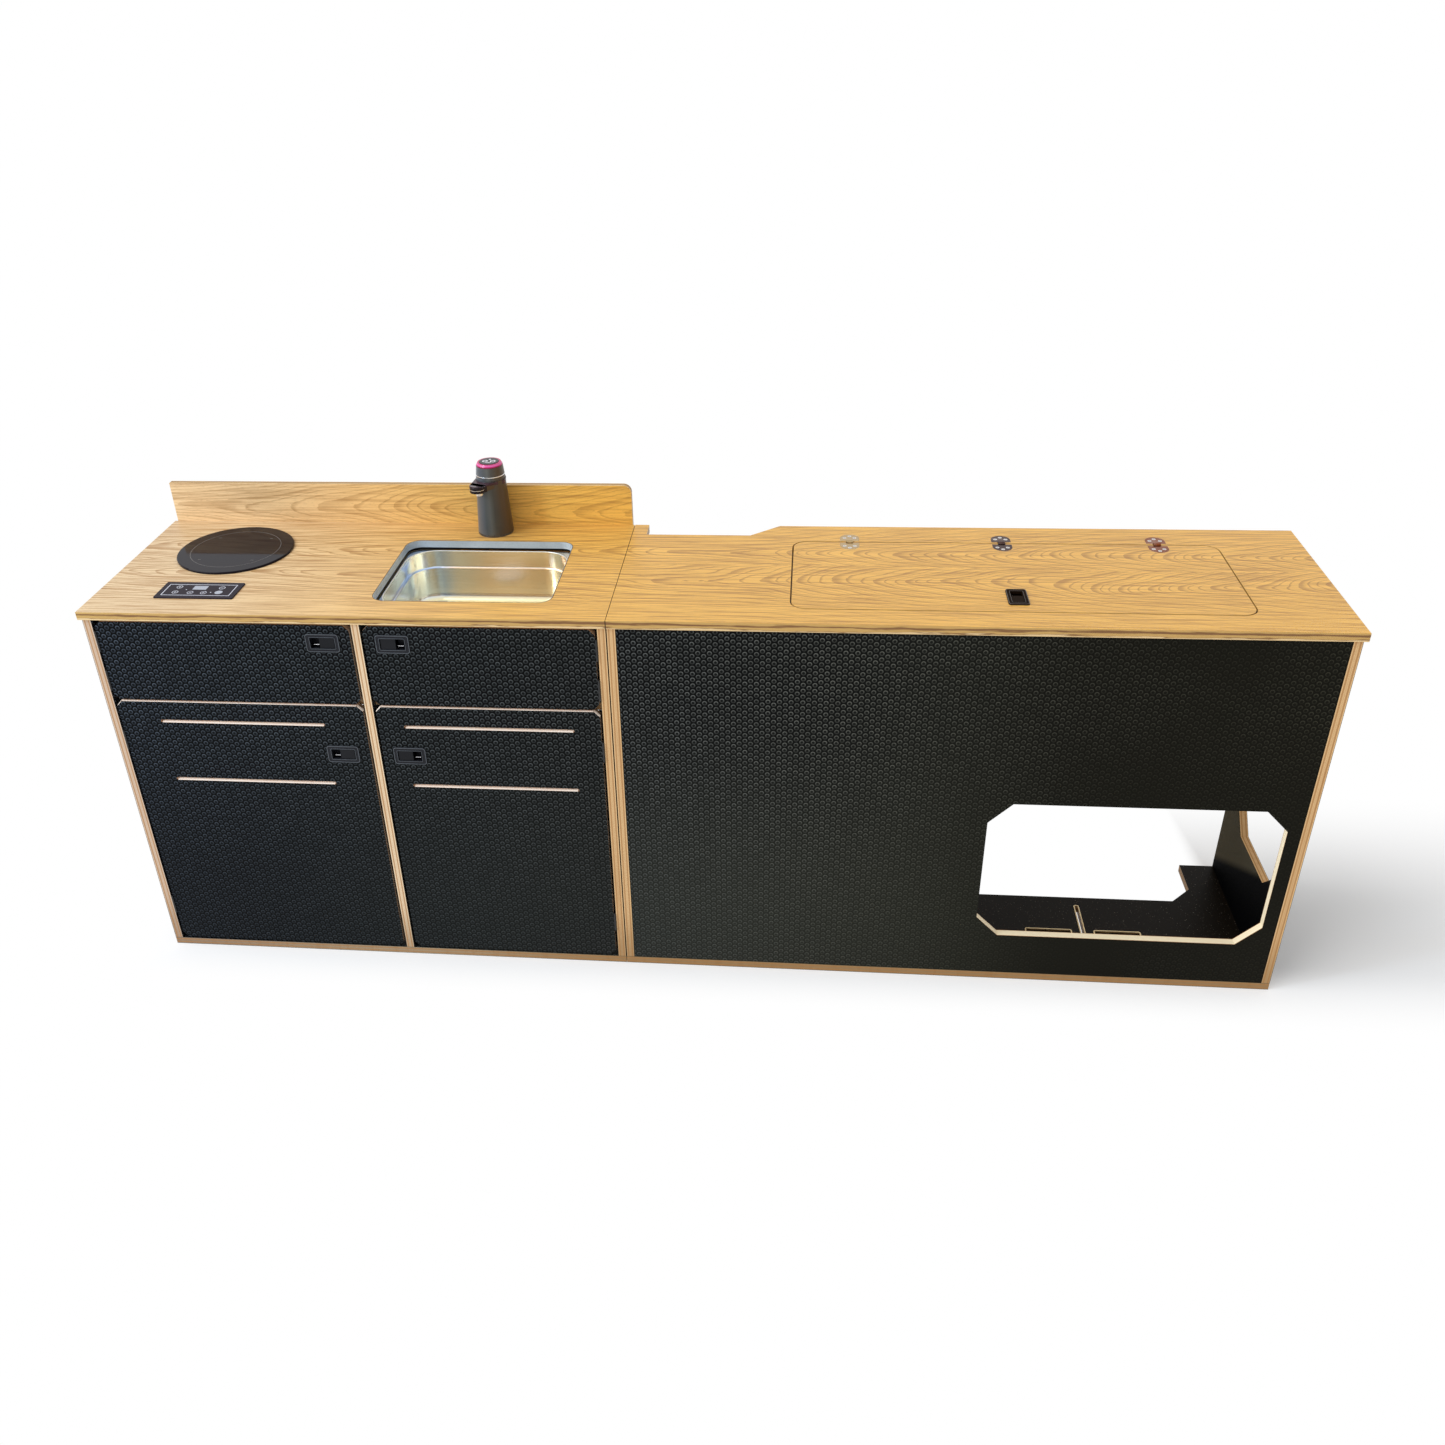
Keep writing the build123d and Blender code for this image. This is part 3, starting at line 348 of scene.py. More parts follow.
# %% Oak rings and edges
def grain_noise(along, side, scale, seed, detail=2.0, roughness=0.5):
    place = join(times(along, scale[0]), times(side, scale[1]), seed)
    return noise(place, 1.0, detail, roughness)


def oak_rings(along, side, hearts, tapers):
    """The dark late wood, from 0 to 1, of cones round the nearer heart."""
    seed = hearts[0]
    wander = minus(grain_noise(along, side, wander_scale, seed), 0.5)
    moved = plus(side, times(wander, heart_wander))
    offset = calc("MINIMUM", *[size_of(minus(moved, heart)) for heart in hearts])
    reach = calc("SQRT", plus(times(offset, offset), heart_depth ** 2))
    past = largest(minus(along, arch_from), 0.0)
    taper = plus(times(along, tapers[0]), times(past, tapers[1] - tapers[0]))
    cone = minus(reach, taper)
    cone = plus(cone, times(grain_noise(along, side, swell_scale, seed), ring_swell))
    cone = plus(cone, times(grain_noise(along, side, jag_scale, seed), ring_jag))
    bands = []
    for count, dark in ring_lines:
        ring = calc("FRACT", over(cone, ring_pitch / count))
        late_wood = spread_value(ring, *late_wood_range, 0.0, dark)
        bands.append(times(late_wood, spread_value(ring, *late_wood_end)))
    return times(largest(*bands), spread_value(offset, *heart_range))


def oak_edge(place, height):
    """The lipped edge of a board, by how high a point is, from 0 to 1."""
    fibre = minus(stretched_noise(place, edge_stretch, 3.0, 0.6), 0.5)
    return ramp(plus(height, times(fibre, edge_waver)), [
        (0.04, edge_cream), (0.12, edge_cream), (0.18, edge_brown), (0.24, edge_gold),
        (0.46, edge_gold), (0.56, edge_brown), (0.70, edge_brown), (0.82, edge_gold),
    ])


def is_face(normal, thin):
    """1 on a board's two faces and 0 on its cut edges."""
    return spread_value(size_of(split(normal)[thin]), *face_range)


print("oak rings ready")

# %% Oak finish
top_low, top_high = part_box("kitchen_worktop")
seam_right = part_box("locker_worktop")[0].x
seam_x = (top_high.x + seam_right) / 2
seam_reach = (seam_right - top_high.x) / 2 + seam_margin
print("seam between the worktops", round((seam_right - top_high.x) * 1000, 2), "mm")


def oak(name, board, hearts, tapers, left_tone, right_tone, contrast):
    """The grain runs from left to right, and the side is the way that is left over."""
    material, shader, place, normal = new_finish(name, lacquer_roughness, gloss=lacquer_gloss)
    low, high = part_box(board)
    thin = thinnest(board)
    parts = split(place)
    along = parts[0]
    side = parts[3 - thin]
    streak = grain_noise(along, side, streak_scale, hearts[0], 4.0, 0.65)
    pore = spread_value(grain_noise(along, side, pore_scale, hearts[0], 1.0), *pore_range)
    # Painted glare: paler towards the left end.
    face = blend_colour(spread_value(along, *glare_to_gold), left_tone, right_tone)
    broken = spread_value(streak, *broken_range, broken_least * contrast, contrast)
    face = blend_colour(times(oak_rings(along, side, hearts, tapers), broken), face, oak_dark)
    face = blend_colour(spread_value(streak, *streak_range, 0.0, streak_dark * contrast), face, oak_dark)
    face = blend_colour(times(pore, pore_dark), face, oak_pore)
    edge = oak_edge(place, share_between(parts[thin], low[thin], high[thin]))
    # Painted shade: the edges inside the seam are painted nearly black.
    in_seam = calc("LESS_THAN", size_of(minus(along, seam_x)), seam_reach)
    edge = blend_colour(in_seam, edge, seam_shade)
    paint(shader, blend_colour(is_face(normal, thin), edge, face))
    raise_surface(shader, minus(streak, pore), pore_depth, 0.6)
    return material


oak_top = oak(
    "oak_top", "kitchen_worktop", hearts=(-0.040, 0.070), tapers=(0.080, 0.230),
    left_tone=oak_pale, right_tone=oak_gold, contrast=0.92,
)
oak_splash = oak(
    "oak_splash", "splashback", hearts=(0.765, 0.900), tapers=(0.110, 0.200),
    left_tone=splash_pale, right_tone=splash_gold, contrast=0.55,
)
dress(oak_top, ["kitchen_worktop", "locker_worktop", "lid"])
dress(oak_splash, ["splashback"])

# %% [markdown]
# ## Black film on plywood
#
# The carcass boards and doors are birch plywood pressed between two sheets
# of black phenolic film. The film has small raised cells in a honeycomb,
# eleven millimetres apart, each with a soft rim and a sunk middle. The rims
# carry a painted highlight, lighter on their upper side and weaker low down,
# which fades towards the right end, where the film looks plain. A painted
# sheen lies on the plain film in the middle and on the lower left of the
# front, and the film is painted cooler at the left and warmer at the right,
# as the light falls there.
#
# Thousands of cells would be heavy as a mesh. A honeycomb is two square
# lattices that interlock, so each point is wrapped into both and keeps the
# nearer centre. The distance from it gives the colour and the height.

# %% Film values
cell_pitch = 0.0111
cell_column = cell_pitch * math.sqrt(3) / 2
film_gap = (0.0004, 0.0005, 0.0006)
film_rim_highlight = (0.120, 0.121, 0.117)
film_middle = (0.0040, 0.0045, 0.0047)
film_sheen = (0.0185, 0.0190, 0.0150)
film_light_tints = [
    (0.0, (0.80, 0.98, 1.28)), (0.22, (0.88, 1.0, 1.10)), (0.45, (0.97, 1.01, 1.0)),
    (0.62, (1.02, 1.02, 0.90)), (1.0, (1.08, 1.04, 0.74)),
]
plain_film_sheen = (0.0150, 0.0155, 0.0120)
plain_film_right = (0.0055, 0.0050, 0.0030)
rim_inner_range = (0.34, 0.57)
rim_outer_range = (0.63, 0.81, 1.0, 0.0)
rim_light_range = (-0.6, 0.6, 0.30, 1.0)
middle_range = (0.8, 1.0, 1.0, 0.0)
cell_height = 0.0004
patch_scale = 70.0
patch_range = (0.3, 0.7, 0.60, 1.0)
low_light_range = (0.05, 0.60, 0.45, 1.0)
door_light = 0.80
board_light = 1.10
print("honeycomb columns", round(cell_column * 1000, 2), "mm apart")

# %% Film values along the unit
plain_range = (0.15, 0.70)
plain_tone_range = (0.30, 0.65)
drift_scale = 2.2
drift_range = (0.25, 0.6, 0.60, 0.93)
end_panel_plain = 0.5
sheen_low_range = (0.10, 0.60, 1.0, 0.0)
sheen_centre = -0.10
sheen_range = (0.15, 0.85, 1.0, 0.0)
door_sheen = 0.40
base_film = (0.0075, 0.0052, 0.0030)
dust = (0.30, 0.27, 0.22)
speck_scale = 450.0
speck_range = (0.70, 0.78, 0.0, 0.7)
# Painted light on the end panel's inner face, with a painted shadow below a slanting line.
end_lit_film = (0.080, 0.067, 0.042)
end_shadow = (0.0010, 0.0010, 0.0012)
end_slope = 0.56
end_range = (0.110, 0.132)
end_roughness = 0.7
end_gloss = 0.02
print("film looks plain from", plain_range[0], "to", plain_range[1])

# %% Honeycomb
def honeycomb(across, up):
    """Distance from the nearest cell's centre, from 0 to 1, and the height within the cell."""
    half = (cell_column, cell_pitch / 2, 1.0)
    minus_half = tuple(-v for v in half)
    flat = join(across, up, 0.0)
    moved = calc_vector("ADD", flat, (cell_column, cell_pitch / 2, 0.0))
    first = calc_vector("WRAP", flat, half, minus_half)
    second = calc_vector("WRAP", moved, half, minus_half)
    first_far = calc_vector("LENGTH", first)
    second_far = calc_vector("LENGTH", second)
    near = over(calc("MINIMUM", first_far, second_far), cell_pitch / 2)
    node = put(graph_of(near), "ShaderNodeMix", data_type="VECTOR")
    feed(node.inputs["Factor"], calc("LESS_THAN", second_far, first_far))
    vectors = [s for s in node.inputs if s.type == "VECTOR" and s.name in "AB"]
    for socket, source in zip(vectors, (first, second)):
        feed(socket, source)
    local = next(s for s in node.outputs if s.type == "VECTOR")
    return near, over(split(local)[1], cell_pitch / 2)


print("honeycomb ready")

# %% Film colour
def plain_share(board, right, place):
    """How plain the film looks, from 0 to 1."""
    drift = spread_value(noise(place, drift_scale), *drift_range)
    plain = times(spread_value(right, *plain_range), drift)
    return times(plain, end_panel_plain) if board == "locker_right_side" else plain


def film_colour(board, parts, place, near, height, rim, plain):
    is_door = "door" in board
    # Painted highlight on the rims: lighter on their upper side, in patches, and weaker low down.
    lit = times(rim, spread_value(height, *rim_light_range))
    lit = times(lit, spread_value(noise(place, patch_scale, 1.0), *patch_range))
    lit = times(lit, spread_value(parts[2], *low_light_range))
    lit = times(lit, door_light if is_door else board_light)
    film = blend_colour(spread_value(near, *middle_range), film_gap, film_middle)
    film = blend_colour(lit, film, film_rim_highlight)
    # The plain film: a painted sheen in the middle, darker towards the right end.
    even = blend_colour(spread_value(parts[0], *plain_tone_range), plain_film_sheen, plain_film_right)
    film = blend_colour(plain, film, even)
    # A painted sheen, broad and pale, on the lower left of the front, fainter on the doors.
    from_seam = size_of(minus(parts[0], sheen_centre))
    sheen = times(spread_value(parts[2], *sheen_low_range), spread_value(from_seam, *sheen_range))
    sheen = times(sheen, door_sheen if is_door else 1.0)
    film = blend_colour(sheen, film, film_sheen, "ADD")
    # Painted light colour: the film is painted cooler at the left, by the window, and warmer at the right.
    tint = ramp(times(plus(parts[0], 1.0), 0.5), film_light_tints)
    return blend_colour(1.0, film, tint, "MULTIPLY")


def dusty_film(place):
    """The locker's base: plain film with bright specks of dust."""
    speck = spread_value(noise(place, speck_scale, 1.0), *speck_range)
    return blend_colour(speck, base_film, dust)


def end_panel_film(shader, film, parts, normal):
    """Its inner face has painted light above a slanting line and a painted shadow, nearly black, below."""
    shader.inputs["Roughness"].default_value = end_roughness
    shader.inputs["Specular IOR Level"].default_value = end_gloss
    slant = plus(parts[2], times(parts[1], end_slope))
    inner_film = blend_colour(spread_value(slant, *end_range), end_shadow, end_lit_film)
    return blend_colour(calc("LESS_THAN", split(normal)[0], 0.0), film, inner_film)


print("film colours ready")

# %% [markdown]
# ## Cut edges of the plywood
#
# Where a board is cut, its pale birch layers show. A picture of plywood
# would repeat, so the layers are worked out from the depth within the board,
# folded at its middle because both halves are alike. The doors and the front
# panel have a quiet edge, and the other boards show darker glue lines and
# flecks. All edges are painted darker near the floor, a painted shade. The
# doors' edges are painted darker, a painted shade of the narrow gaps, and the
# edges of the octagonal opening lighter, painted light.

# %% Edge values
ply_pale_far = (0.66, 0.50, 0.37)
ply_pale_left = (0.88, 0.68, 0.45)
ply_pale_right = (0.76, 0.50, 0.25)
# Painted shade: the doors' edges are darker, as in the narrow gaps beside them.
ply_pale_door_shaded = (0.55, 0.38, 0.25)
# Painted light: the edges of the octagonal opening are paler than the birch elsewhere.
ply_pale_octagon_lit = (1.0, 0.86, 0.60)
ply_brown = (0.42, 0.20, 0.07)
base_shade = (0.70, 0.70, 0.68)
far_to_left = (-1.02, -0.60)
left_to_right = (-0.6, -0.12)
fleck_stretch = (130.0, 130.0, 7.0)
fleck_range = (0.45, 0.8)
quiet_fleck = 0.05
usual_fleck = 0.35
foot_shade_range = (0.02, 0.14, 0.62, 1.0)
skin_range = (0.025, 0.045, 1.0, 0.0)


def grey(value):
    return (value, value, value)


board_layers = [
    (0.0, grey(1.0)), (0.03, grey(1.0)), (0.05, grey(0.0)), (0.13, grey(0.0)),
    (0.20, grey(0.85)), (0.32, grey(0.70)), (0.41, grey(0.0)), (0.50, grey(0.40)),
]
door_layers = [(0.0, grey(1.0)), (0.04, grey(1.0)), (0.07, grey(0.0)), (0.45, grey(0.0))]
print("layers of a board", len(board_layers))

# %% Cut edge
def ply_tone(board, right):
    """The pale birch between the glue lines: painted darker on the doors, as shade of the gaps, painted
    lighter round the octagonal opening, and a little darker on a level board.
    """
    if "door" in board:
        return ply_pale_door_shaded
    if board == "locker_front_panel":
        return ply_pale_octagon_lit
    pale = blend_colour(spread_value(right, *far_to_left), ply_pale_far, ply_pale_left)
    pale = blend_colour(spread_value(right, *left_to_right), pale, ply_pale_right)
    is_level = thinnest(board) == 2
    return blend_colour(1.0, pale, base_shade, "MULTIPLY") if is_level else pale


def ply_edge(board, parts, place):
    """The layers by the depth within the board."""
    low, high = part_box(board)
    thin = thinnest(board)
    depth = share_between(parts[thin], low[thin], high[thin])
    is_quiet = "door" in board or board == "locker_front_panel"
    fleck = stretched_noise(place, fleck_stretch)
    fleck_share = spread_value(fleck, *fleck_range, 0.0, quiet_fleck if is_quiet else usual_fleck)
    pale = blend_colour(fleck_share, ply_tone(board, parts[0]), ply_brown)
    # Painted shade: darker near the floor.
    foot = spread_value(parts[2], *foot_shade_range)
    pale = blend_colour(minus(1.0, foot), pale, film_gap)
    layer = calc("PINGPONG", depth, 0.5)
    edge = blend_colour(ramp(layer, door_layers if is_quiet else board_layers), pale, ply_brown)
    return edge if is_quiet else blend_colour(spread_value(layer, *skin_range), edge, film_gap)


def film_board(board):
    material, shader, place, normal = new_finish("film_" + board, 0.42, gloss=0.06)
    thin = thinnest(board)
    parts = split(place)
    near, height = honeycomb(*[parts[i] for i in range(3) if i != thin])
    rim = times(spread_value(near, *rim_inner_range), spread_value(near, *rim_outer_range))
    plain = plain_share(board, parts[0], place)
    if board == "locker_base":
        film = dusty_film(place)
    else:
        film = film_colour(board, parts, place, near, height, rim, plain)
    if board == "locker_right_side":
        film = end_panel_film(shader, film, parts, normal)
    on_film = is_face(normal, thin)
    paint(shader, blend_colour(on_film, ply_edge(board, parts, place), film))
    raise_surface(shader, times(times(rim, on_film), minus(1.0, plain)), cell_height, 0.5)
    return material


boards = [
    "kitchen_base", "kitchen_divider", "kitchen_left_side", "kitchen_rear_rail", "kitchen_right_side",
    "kitchen_shelves", "locker_base", "locker_front_panel", "locker_left_side", "locker_rear_rail",
    "locker_right_side", "lower_left_door", "lower_right_door", "upper_left_door", "upper_right_door",
]
for board in boards:
    dress(film_board(board), [board])

# %% [markdown]
# ## Plain birch plywood
#
# The battens under the lid and the small keeper blocks are bare plywood. A
# stretched noise gives the straight, quiet grain of birch.

# %% Plain plywood
birch_pale = (0.78, 0.62, 0.42)
birch_warm = (0.60, 0.42, 0.24)
birch_stretch = (8.0, 300.0, 260.0)


def birch():
    material, shader, place, normal = new_finish("plain_birch", 0.6, gloss=0.3)
    grain = stretched_noise(place, birch_stretch, 3.0)
    paint(shader, ramp(grain, list(zip(noise_range, (birch_pale, birch_warm)))))
    raise_surface(shader, grain, 0.0001, 0.5)
    return material


dress(birch(), ["lid_battens", "door_keepers"])

# %% [markdown]
# ## Moulded and coated parts
#
# The latches are satin black nylon, the tap's base is coated in graphite,
# and the hob housing and waste are plain black plastic. Each is one colour
# to the eye but never quite even, so a fine grain moves the roughness and
# the surface a little, and a slower noise moves the colour.

# %% Moulded and coated finishes
cloud_scale = 18.0
fine_scale = 1200.0
fine_depth = 0.00003
fine_uneven = 0.05


def coated(name, dark, light, roughness, metal=0.0, gloss=0.5, grain=fine_scale):
    material, shader, place, normal = new_finish(name, roughness, metal, gloss)
    paint(shader, ramp(noise(place, cloud_scale, 3.0), list(zip(noise_range, (dark, light)))))
    fine = noise(place, grain)
    roughen(shader, fine, roughness, fine_uneven)
    raise_surface(shader, fine, fine_depth, 0.6)
    return material


latches = ["upper_left", "upper_right", "lower_left", "lower_right", "lid"]
doors = latches[:4]
nylon = coated("satin_nylon", (0.0075, 0.008, 0.011), (0.012, 0.013, 0.018), 0.4, gloss=0.2)
paddle_nylon = coated("paddle_nylon", (0.006, 0.0065, 0.008), (0.010, 0.0105, 0.013), 0.42, gloss=0.15)
lid_nylon = coated("lid_nylon", (0.010, 0.005, 0.002), (0.016, 0.008, 0.004), 0.5, gloss=0.02)
black_plastic = coated("black_plastic", (0.014, 0.014, 0.014), (0.022, 0.022, 0.022), 0.5, gloss=0.35)
black_enamel = coated("black_enamel", (0.010, 0.010, 0.010), (0.018, 0.018, 0.018), 0.35, gloss=0.4)
seal_foam = coated("seal_foam", (0.006, 0.006, 0.006), (0.012, 0.012, 0.012), 0.8, gloss=0.2)
graphite = coated("graphite", (0.080, 0.074, 0.064), (0.098, 0.090, 0.078), 0.28, 0.45, 0.5)
dress(nylon, [door + "_latch_housing" for door in doors])
dress(paddle_nylon, [door + "_latch_paddle" for door in doors])
dress(lid_nylon, ["lid_latch_housing", "lid_latch_paddle"])
dress(black_plastic, ["hob_housing", "sink_waste"])
dress(black_enamel, ["door_hinge_frame_leaves", "door_hinge_pins"])
dress(black_enamel, [door + "_hinge_leaves" for door in doors])
dress(seal_foam, ["sink_seal"])
dress(graphite, ["tap_base"])

# %% [markdown]
# ## Metals
#
# The pan is pressed from bright rolled steel, so its walls carry fine lines
# along the rolling direction. Their warm colour is a painted reflection of the
# oak, and its left wall is painted cooler, a painted reflection of the window.
# The hinges are cast and polished, and their uneven colours, one for each
# hinge, are painted reflections of the room. Noise stretched along one axis
# gives the lines, and the same noise moves the roughness.

# %% Rolled metals
pan_cool_reflection = (0.62, 0.73, 0.90)
pan_warm_reflection = (0.86, 0.77, 0.46)
pan_low, pan_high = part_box("sink_pan")
cool_range = (pan_low.x + 0.045, pan_low.x + 0.100, 1.0, 0.0)
bottom_range = (pan_low.z + 0.002, pan_low.z + 0.016, 1.0, 0.0)
rolling_depth = 0.000004


def pan_reflections(colour, place):
    """Paints a cool reflection on the pan's left end and a warm reflection on its bottom."""
    parts = split(place)
    cooled = blend_colour(spread_value(parts[0], *cool_range), colour, pan_cool_reflection)
    return blend_colour(spread_value(parts[2], *bottom_range), cooled, pan_warm_reflection)


def rolled_steel(name, stretch, pale, warm, roughness, uneven=0.06, tint=None):
    material, shader, place, normal = new_finish(name, roughness, metal=1.0)
    lines = stretched_noise(place, stretch, 3.0, 0.6)
    colour = blend_colour(spread_value(noise(place, 9.0), *noise_range), pale, warm)
    paint(shader, tint(colour, place) if tint else colour)
    roughen(shader, lines, roughness, uneven)
    raise_surface(shader, lines, rolling_depth, 0.5)
    return material


def even_metal(name, scale, pale, warm, roughness):
    return rolled_steel(name, (scale, scale, scale), pale, warm, roughness)


# The warm steel tones are a painted reflection of the oak.
pan_steel = rolled_steel(
    "pan_steel", (6.0, 6.0, 300.0), (0.87, 0.75, 0.61), (0.80, 0.65, 0.50), 0.22, 0.03, pan_reflections
)
zinc = even_metal("bright_zinc", 300.0, (0.60, 0.60, 0.58), (0.52, 0.52, 0.50), 0.3)
screw_steel = even_metal("screw_steel", 500.0, (0.80, 0.78, 0.76), (0.70, 0.68, 0.66), 0.25)
chrome = even_metal("chrome", 80.0, (0.95, 0.95, 0.96), (0.90, 0.90, 0.92), 0.3)
polished_rim = even_metal("polished_rim", 40.0, (0.98, 0.97, 0.93), (0.94, 0.93, 0.90), 0.42)
dress(pan_steel, ["sink_pan"])
dress(zinc, ["pod_bolts"] + [latch + "_latch_bolt" for latch in latches])
dress(screw_steel, ["lid_hinge_fixed_screws", "lid_hinge_moving_screws"])
dress(chrome, ["tap_aerator"])

# %% Cast hinges
hinge_reflections = [
    (0.0, (0.50, 0.36, 0.18)), (0.2, (0.46, 0.32, 0.16)), (0.4, (0.050, 0.020, 0.018)),
    (0.6, (0.044, 0.016, 0.014)), (0.8, (0.21, 0.058, 0.02)), (1.0, (0.23, 0.062, 0.02)),
]
hinge_cloud = (0.5, 0.38, 0.32)
hinge_cloud_range = (0.4, 0.8, 0.0, 0.25)


def cast_hinge():
    """One painted reflection for each of the three hinges, from left to right."""
    material, shader, place, normal = new_finish("cast_hinge", 0.22, metal=1.0)
    low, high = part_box("lid_hinge_fixed_leaves")
    tone = ramp(share_between(split(place)[0], low.x, high.x), hinge_reflections)
    cloud = spread_value(noise(place, 60.0), *hinge_cloud_range)
    paint(shader, blend_colour(cloud, tone, hinge_cloud))
    raise_surface(shader, noise(place, 700.0), fine_depth, 0.4)
    return material


dress(cast_hinge(), ["lid_hinge_fixed_leaves", "lid_hinge_moving_leaves", "lid_hinge_pins"])

# %% [markdown]
# ## Glass, touch panel and tap
#
# The hob is one disc of black ceramic glass, and its touch panel is gloss
# black too. Their look is nearly all reflection, so the base is almost black,
# with a faint purple on the hob that is a painted reflection of the sky, and a
# very weak noise breaks the mirror, as wiping does. The tap's coating is
# painted by the way it faces, which the normal gives: a cool painted reflection
# of the window on its left, a painted highlight in its middle and a warm
# painted reflection of the oak on its right. Its light ring is clear plastic
# lit from inside: a strong base colour and a little emission, painted darker
# at its foot and with a painted highlight near its top.

# %% Glass and gloss finishes
smear_stretch = (30.0, 70.0, 30.0)
smear_range = (0.3, 0.8)
smear_rough = 0.07


def gloss_black(name, base, roughness, gloss):
    material, shader, place, normal = new_finish(name, roughness, gloss=gloss)
    smear = stretched_noise(place, smear_stretch, 3.0)
    rough = spread_value(smear, *smear_range, roughness, roughness + smear_rough)
    feed(shader.inputs["Roughness"], rough)
    paint(shader, blend_colour(smear, base, (base[0] * 1.6, base[1] * 1.5, base[2] * 1.5)))
    return material


# A faint purple in the hob's base: a painted reflection of the sky.
hob_glass = gloss_black("hob_glass", (0.006, 0.0045, 0.008), 0.03, 0.105)
touch_glass = gloss_black("touch_glass", (0.014, 0.010, 0.016), 0.12, 0.05)
button_gloss = gloss_black("button_gloss", (0.010, 0.009, 0.012), 0.12, 0.3)
beak_gloss = gloss_black("beak_gloss", (0.010, 0.008, 0.012), 0.14, 0.25)
plum_gloss = gloss_black("plum_gloss", (0.045, 0.020, 0.028), 0.22, 0.3)
dress(hob_glass, ["hob_glass"])
dress(touch_glass, ["control_panel"])
dress(button_gloss, ["tap_button"])

# %% Tap finishes
ring_glow = 0.12
tap_light_tones = [
    (0.03, (0.15, 0.175, 0.205)), (0.18, (0.105, 0.123, 0.146)), (0.36, (0.072, 0.080, 0.084)),
    (0.50, (0.112, 0.116, 0.106)), (0.64, (0.066, 0.060, 0.050)), (0.85, (0.080, 0.054, 0.030)),
]
ring_highlight_tones = [
    (0.0, (0.10, 0.001, 0.02)), (0.28, (0.30, 0.004, 0.07)), (0.50, (0.60, 0.02, 0.20)),
    (0.75, (0.72, 0.14, 0.42)), (1.0, (0.50, 0.01, 0.12)),
]


def lit_graphite():
    """The tap's coating, painted with a cool reflection on its left, a highlight in its middle and a warm
    reflection on its right.
    """
    material, shader, place, normal = new_finish("lit_graphite", 0.34, metal=0.3)
    paint(shader, ramp(times(plus(split(normal)[0], 1.0), 0.5), tap_light_tones))
    raise_surface(shader, noise(place, fine_scale), fine_depth, 0.6)
    return material


def light_ring():
    material, shader, place, normal = new_finish("light_ring", 0.2)
    low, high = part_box("tap_ring")
    # Painted shade and highlight: darker at the ring's foot, pale pink near its top.
    colour = ramp(share_between(split(place)[2], low.z, high.z), ring_highlight_tones)
    paint(shader, colour)
    feed(shader.inputs["Emission Color"], colour)
    shader.inputs["Emission Strength"].default_value = ring_glow
    return material


dress(lit_graphite(), ["tap_body", "tap_head"])
dress(light_ring(), ["tap_ring"])

# %% [markdown]
# ## Modelling helpers
#
# The added trims are thin plates, rings and lines. Each starts as a flat
# primitive, gets its outline in edit mode, and a Solidify modifier gives it
# its thickness. The place is then put into the mesh, so every object sits at
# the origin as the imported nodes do.

# %% Starting, selecting and finishing
def start(name, add, **at):
    bpy.ops.object.select_all(action="DESELECT")
    add(**at)
    piece = bpy.context.object
    piece.name = name
    piece.data.name = name
    return piece


def settle(piece):
    bpy.ops.object.select_all(action="DESELECT")
    piece.select_set(True)
    bpy.context.view_layer.objects.active = piece
    bpy.ops.object.transform_apply(location=True, rotation=True, scale=True)


def start_sized(name, add, size, centre):
    """A plane or cube of this size round its centre."""
    piece = start(name, add, size=1.0, location=centre)
    piece.scale = size
    settle(piece)
    return piece


def pick(piece, test):
    """Edit mode with only the wanted vertices selected."""
    bpy.ops.object.mode_set(mode="EDIT")
    bpy.ops.mesh.select_mode(type="VERT")
    bpy.ops.mesh.select_all(action="DESELECT")
    bpy.ops.object.mode_set(mode="OBJECT")
    for vertex in piece.data.vertices:
        vertex.select = test(vertex.co)
    bpy.ops.object.mode_set(mode="EDIT")


def pick_all():
    bpy.ops.object.mode_set(mode="EDIT")
    bpy.ops.mesh.select_all(action="SELECT")


def thicken(piece, height):
    solid = piece.modifiers.new("solid", "SOLIDIFY")
    solid.thickness = height
    solid.offset = 1.0
    solid.use_even_offset = True
    bpy.ops.object.modifier_apply(modifier=solid.name)


def soften(piece, width, segments=2):
    soft = piece.modifiers.new("soft", "BEVEL")
    soft.width = width
    soft.segments = segments
    bpy.ops.object.modifier_apply(modifier=soft.name)


def beside(middle, right, back, height):
    """A point beside a part's middle, at this height above the floor."""
    return (middle.x + right, middle.y + back, height)


def merge(name, pieces):
    bpy.ops.object.select_all(action="DESELECT")
    for piece in pieces:
        piece.select_set(True)
    bpy.context.view_layer.objects.active = pieces[0]
    if len(pieces) > 1:
        bpy.ops.object.join()
    pieces[0].name = name
    return pieces[0]


def finish_piece(piece, material, body):
    piece.data.materials.clear()
    piece.data.materials.append(material)
    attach(piece, body)
    print(piece.name, "faces", len(piece.data.polygons), "on", body)


print("modelling helpers ready")

# %% Plates and discs
def raise_outline(piece, height, line, rounding):
    """Thickens a flat outline, or only the line round its edge."""
    pick_all()
    if line:
        bpy.ops.mesh.inset(thickness=line)
        bpy.ops.mesh.delete(type="FACE")
    bpy.ops.object.mode_set(mode="OBJECT")
    thicken(piece, height)
    if rounding:
        soften(piece, rounding)
    return piece


def plate(name, centre, length, width, corner, height, line=None, rounding=0.0):
    """A rounded flat plate, or the line round its edge."""
    piece = start_sized(name, bpy.ops.mesh.primitive_plane_add, (length, width, 1.0), centre)
    pick_all()
    bpy.ops.mesh.bevel(offset=corner, segments=8, affect="VERTICES")
    bpy.ops.object.mode_set(mode="OBJECT")
    return raise_outline(piece, height, line, rounding)


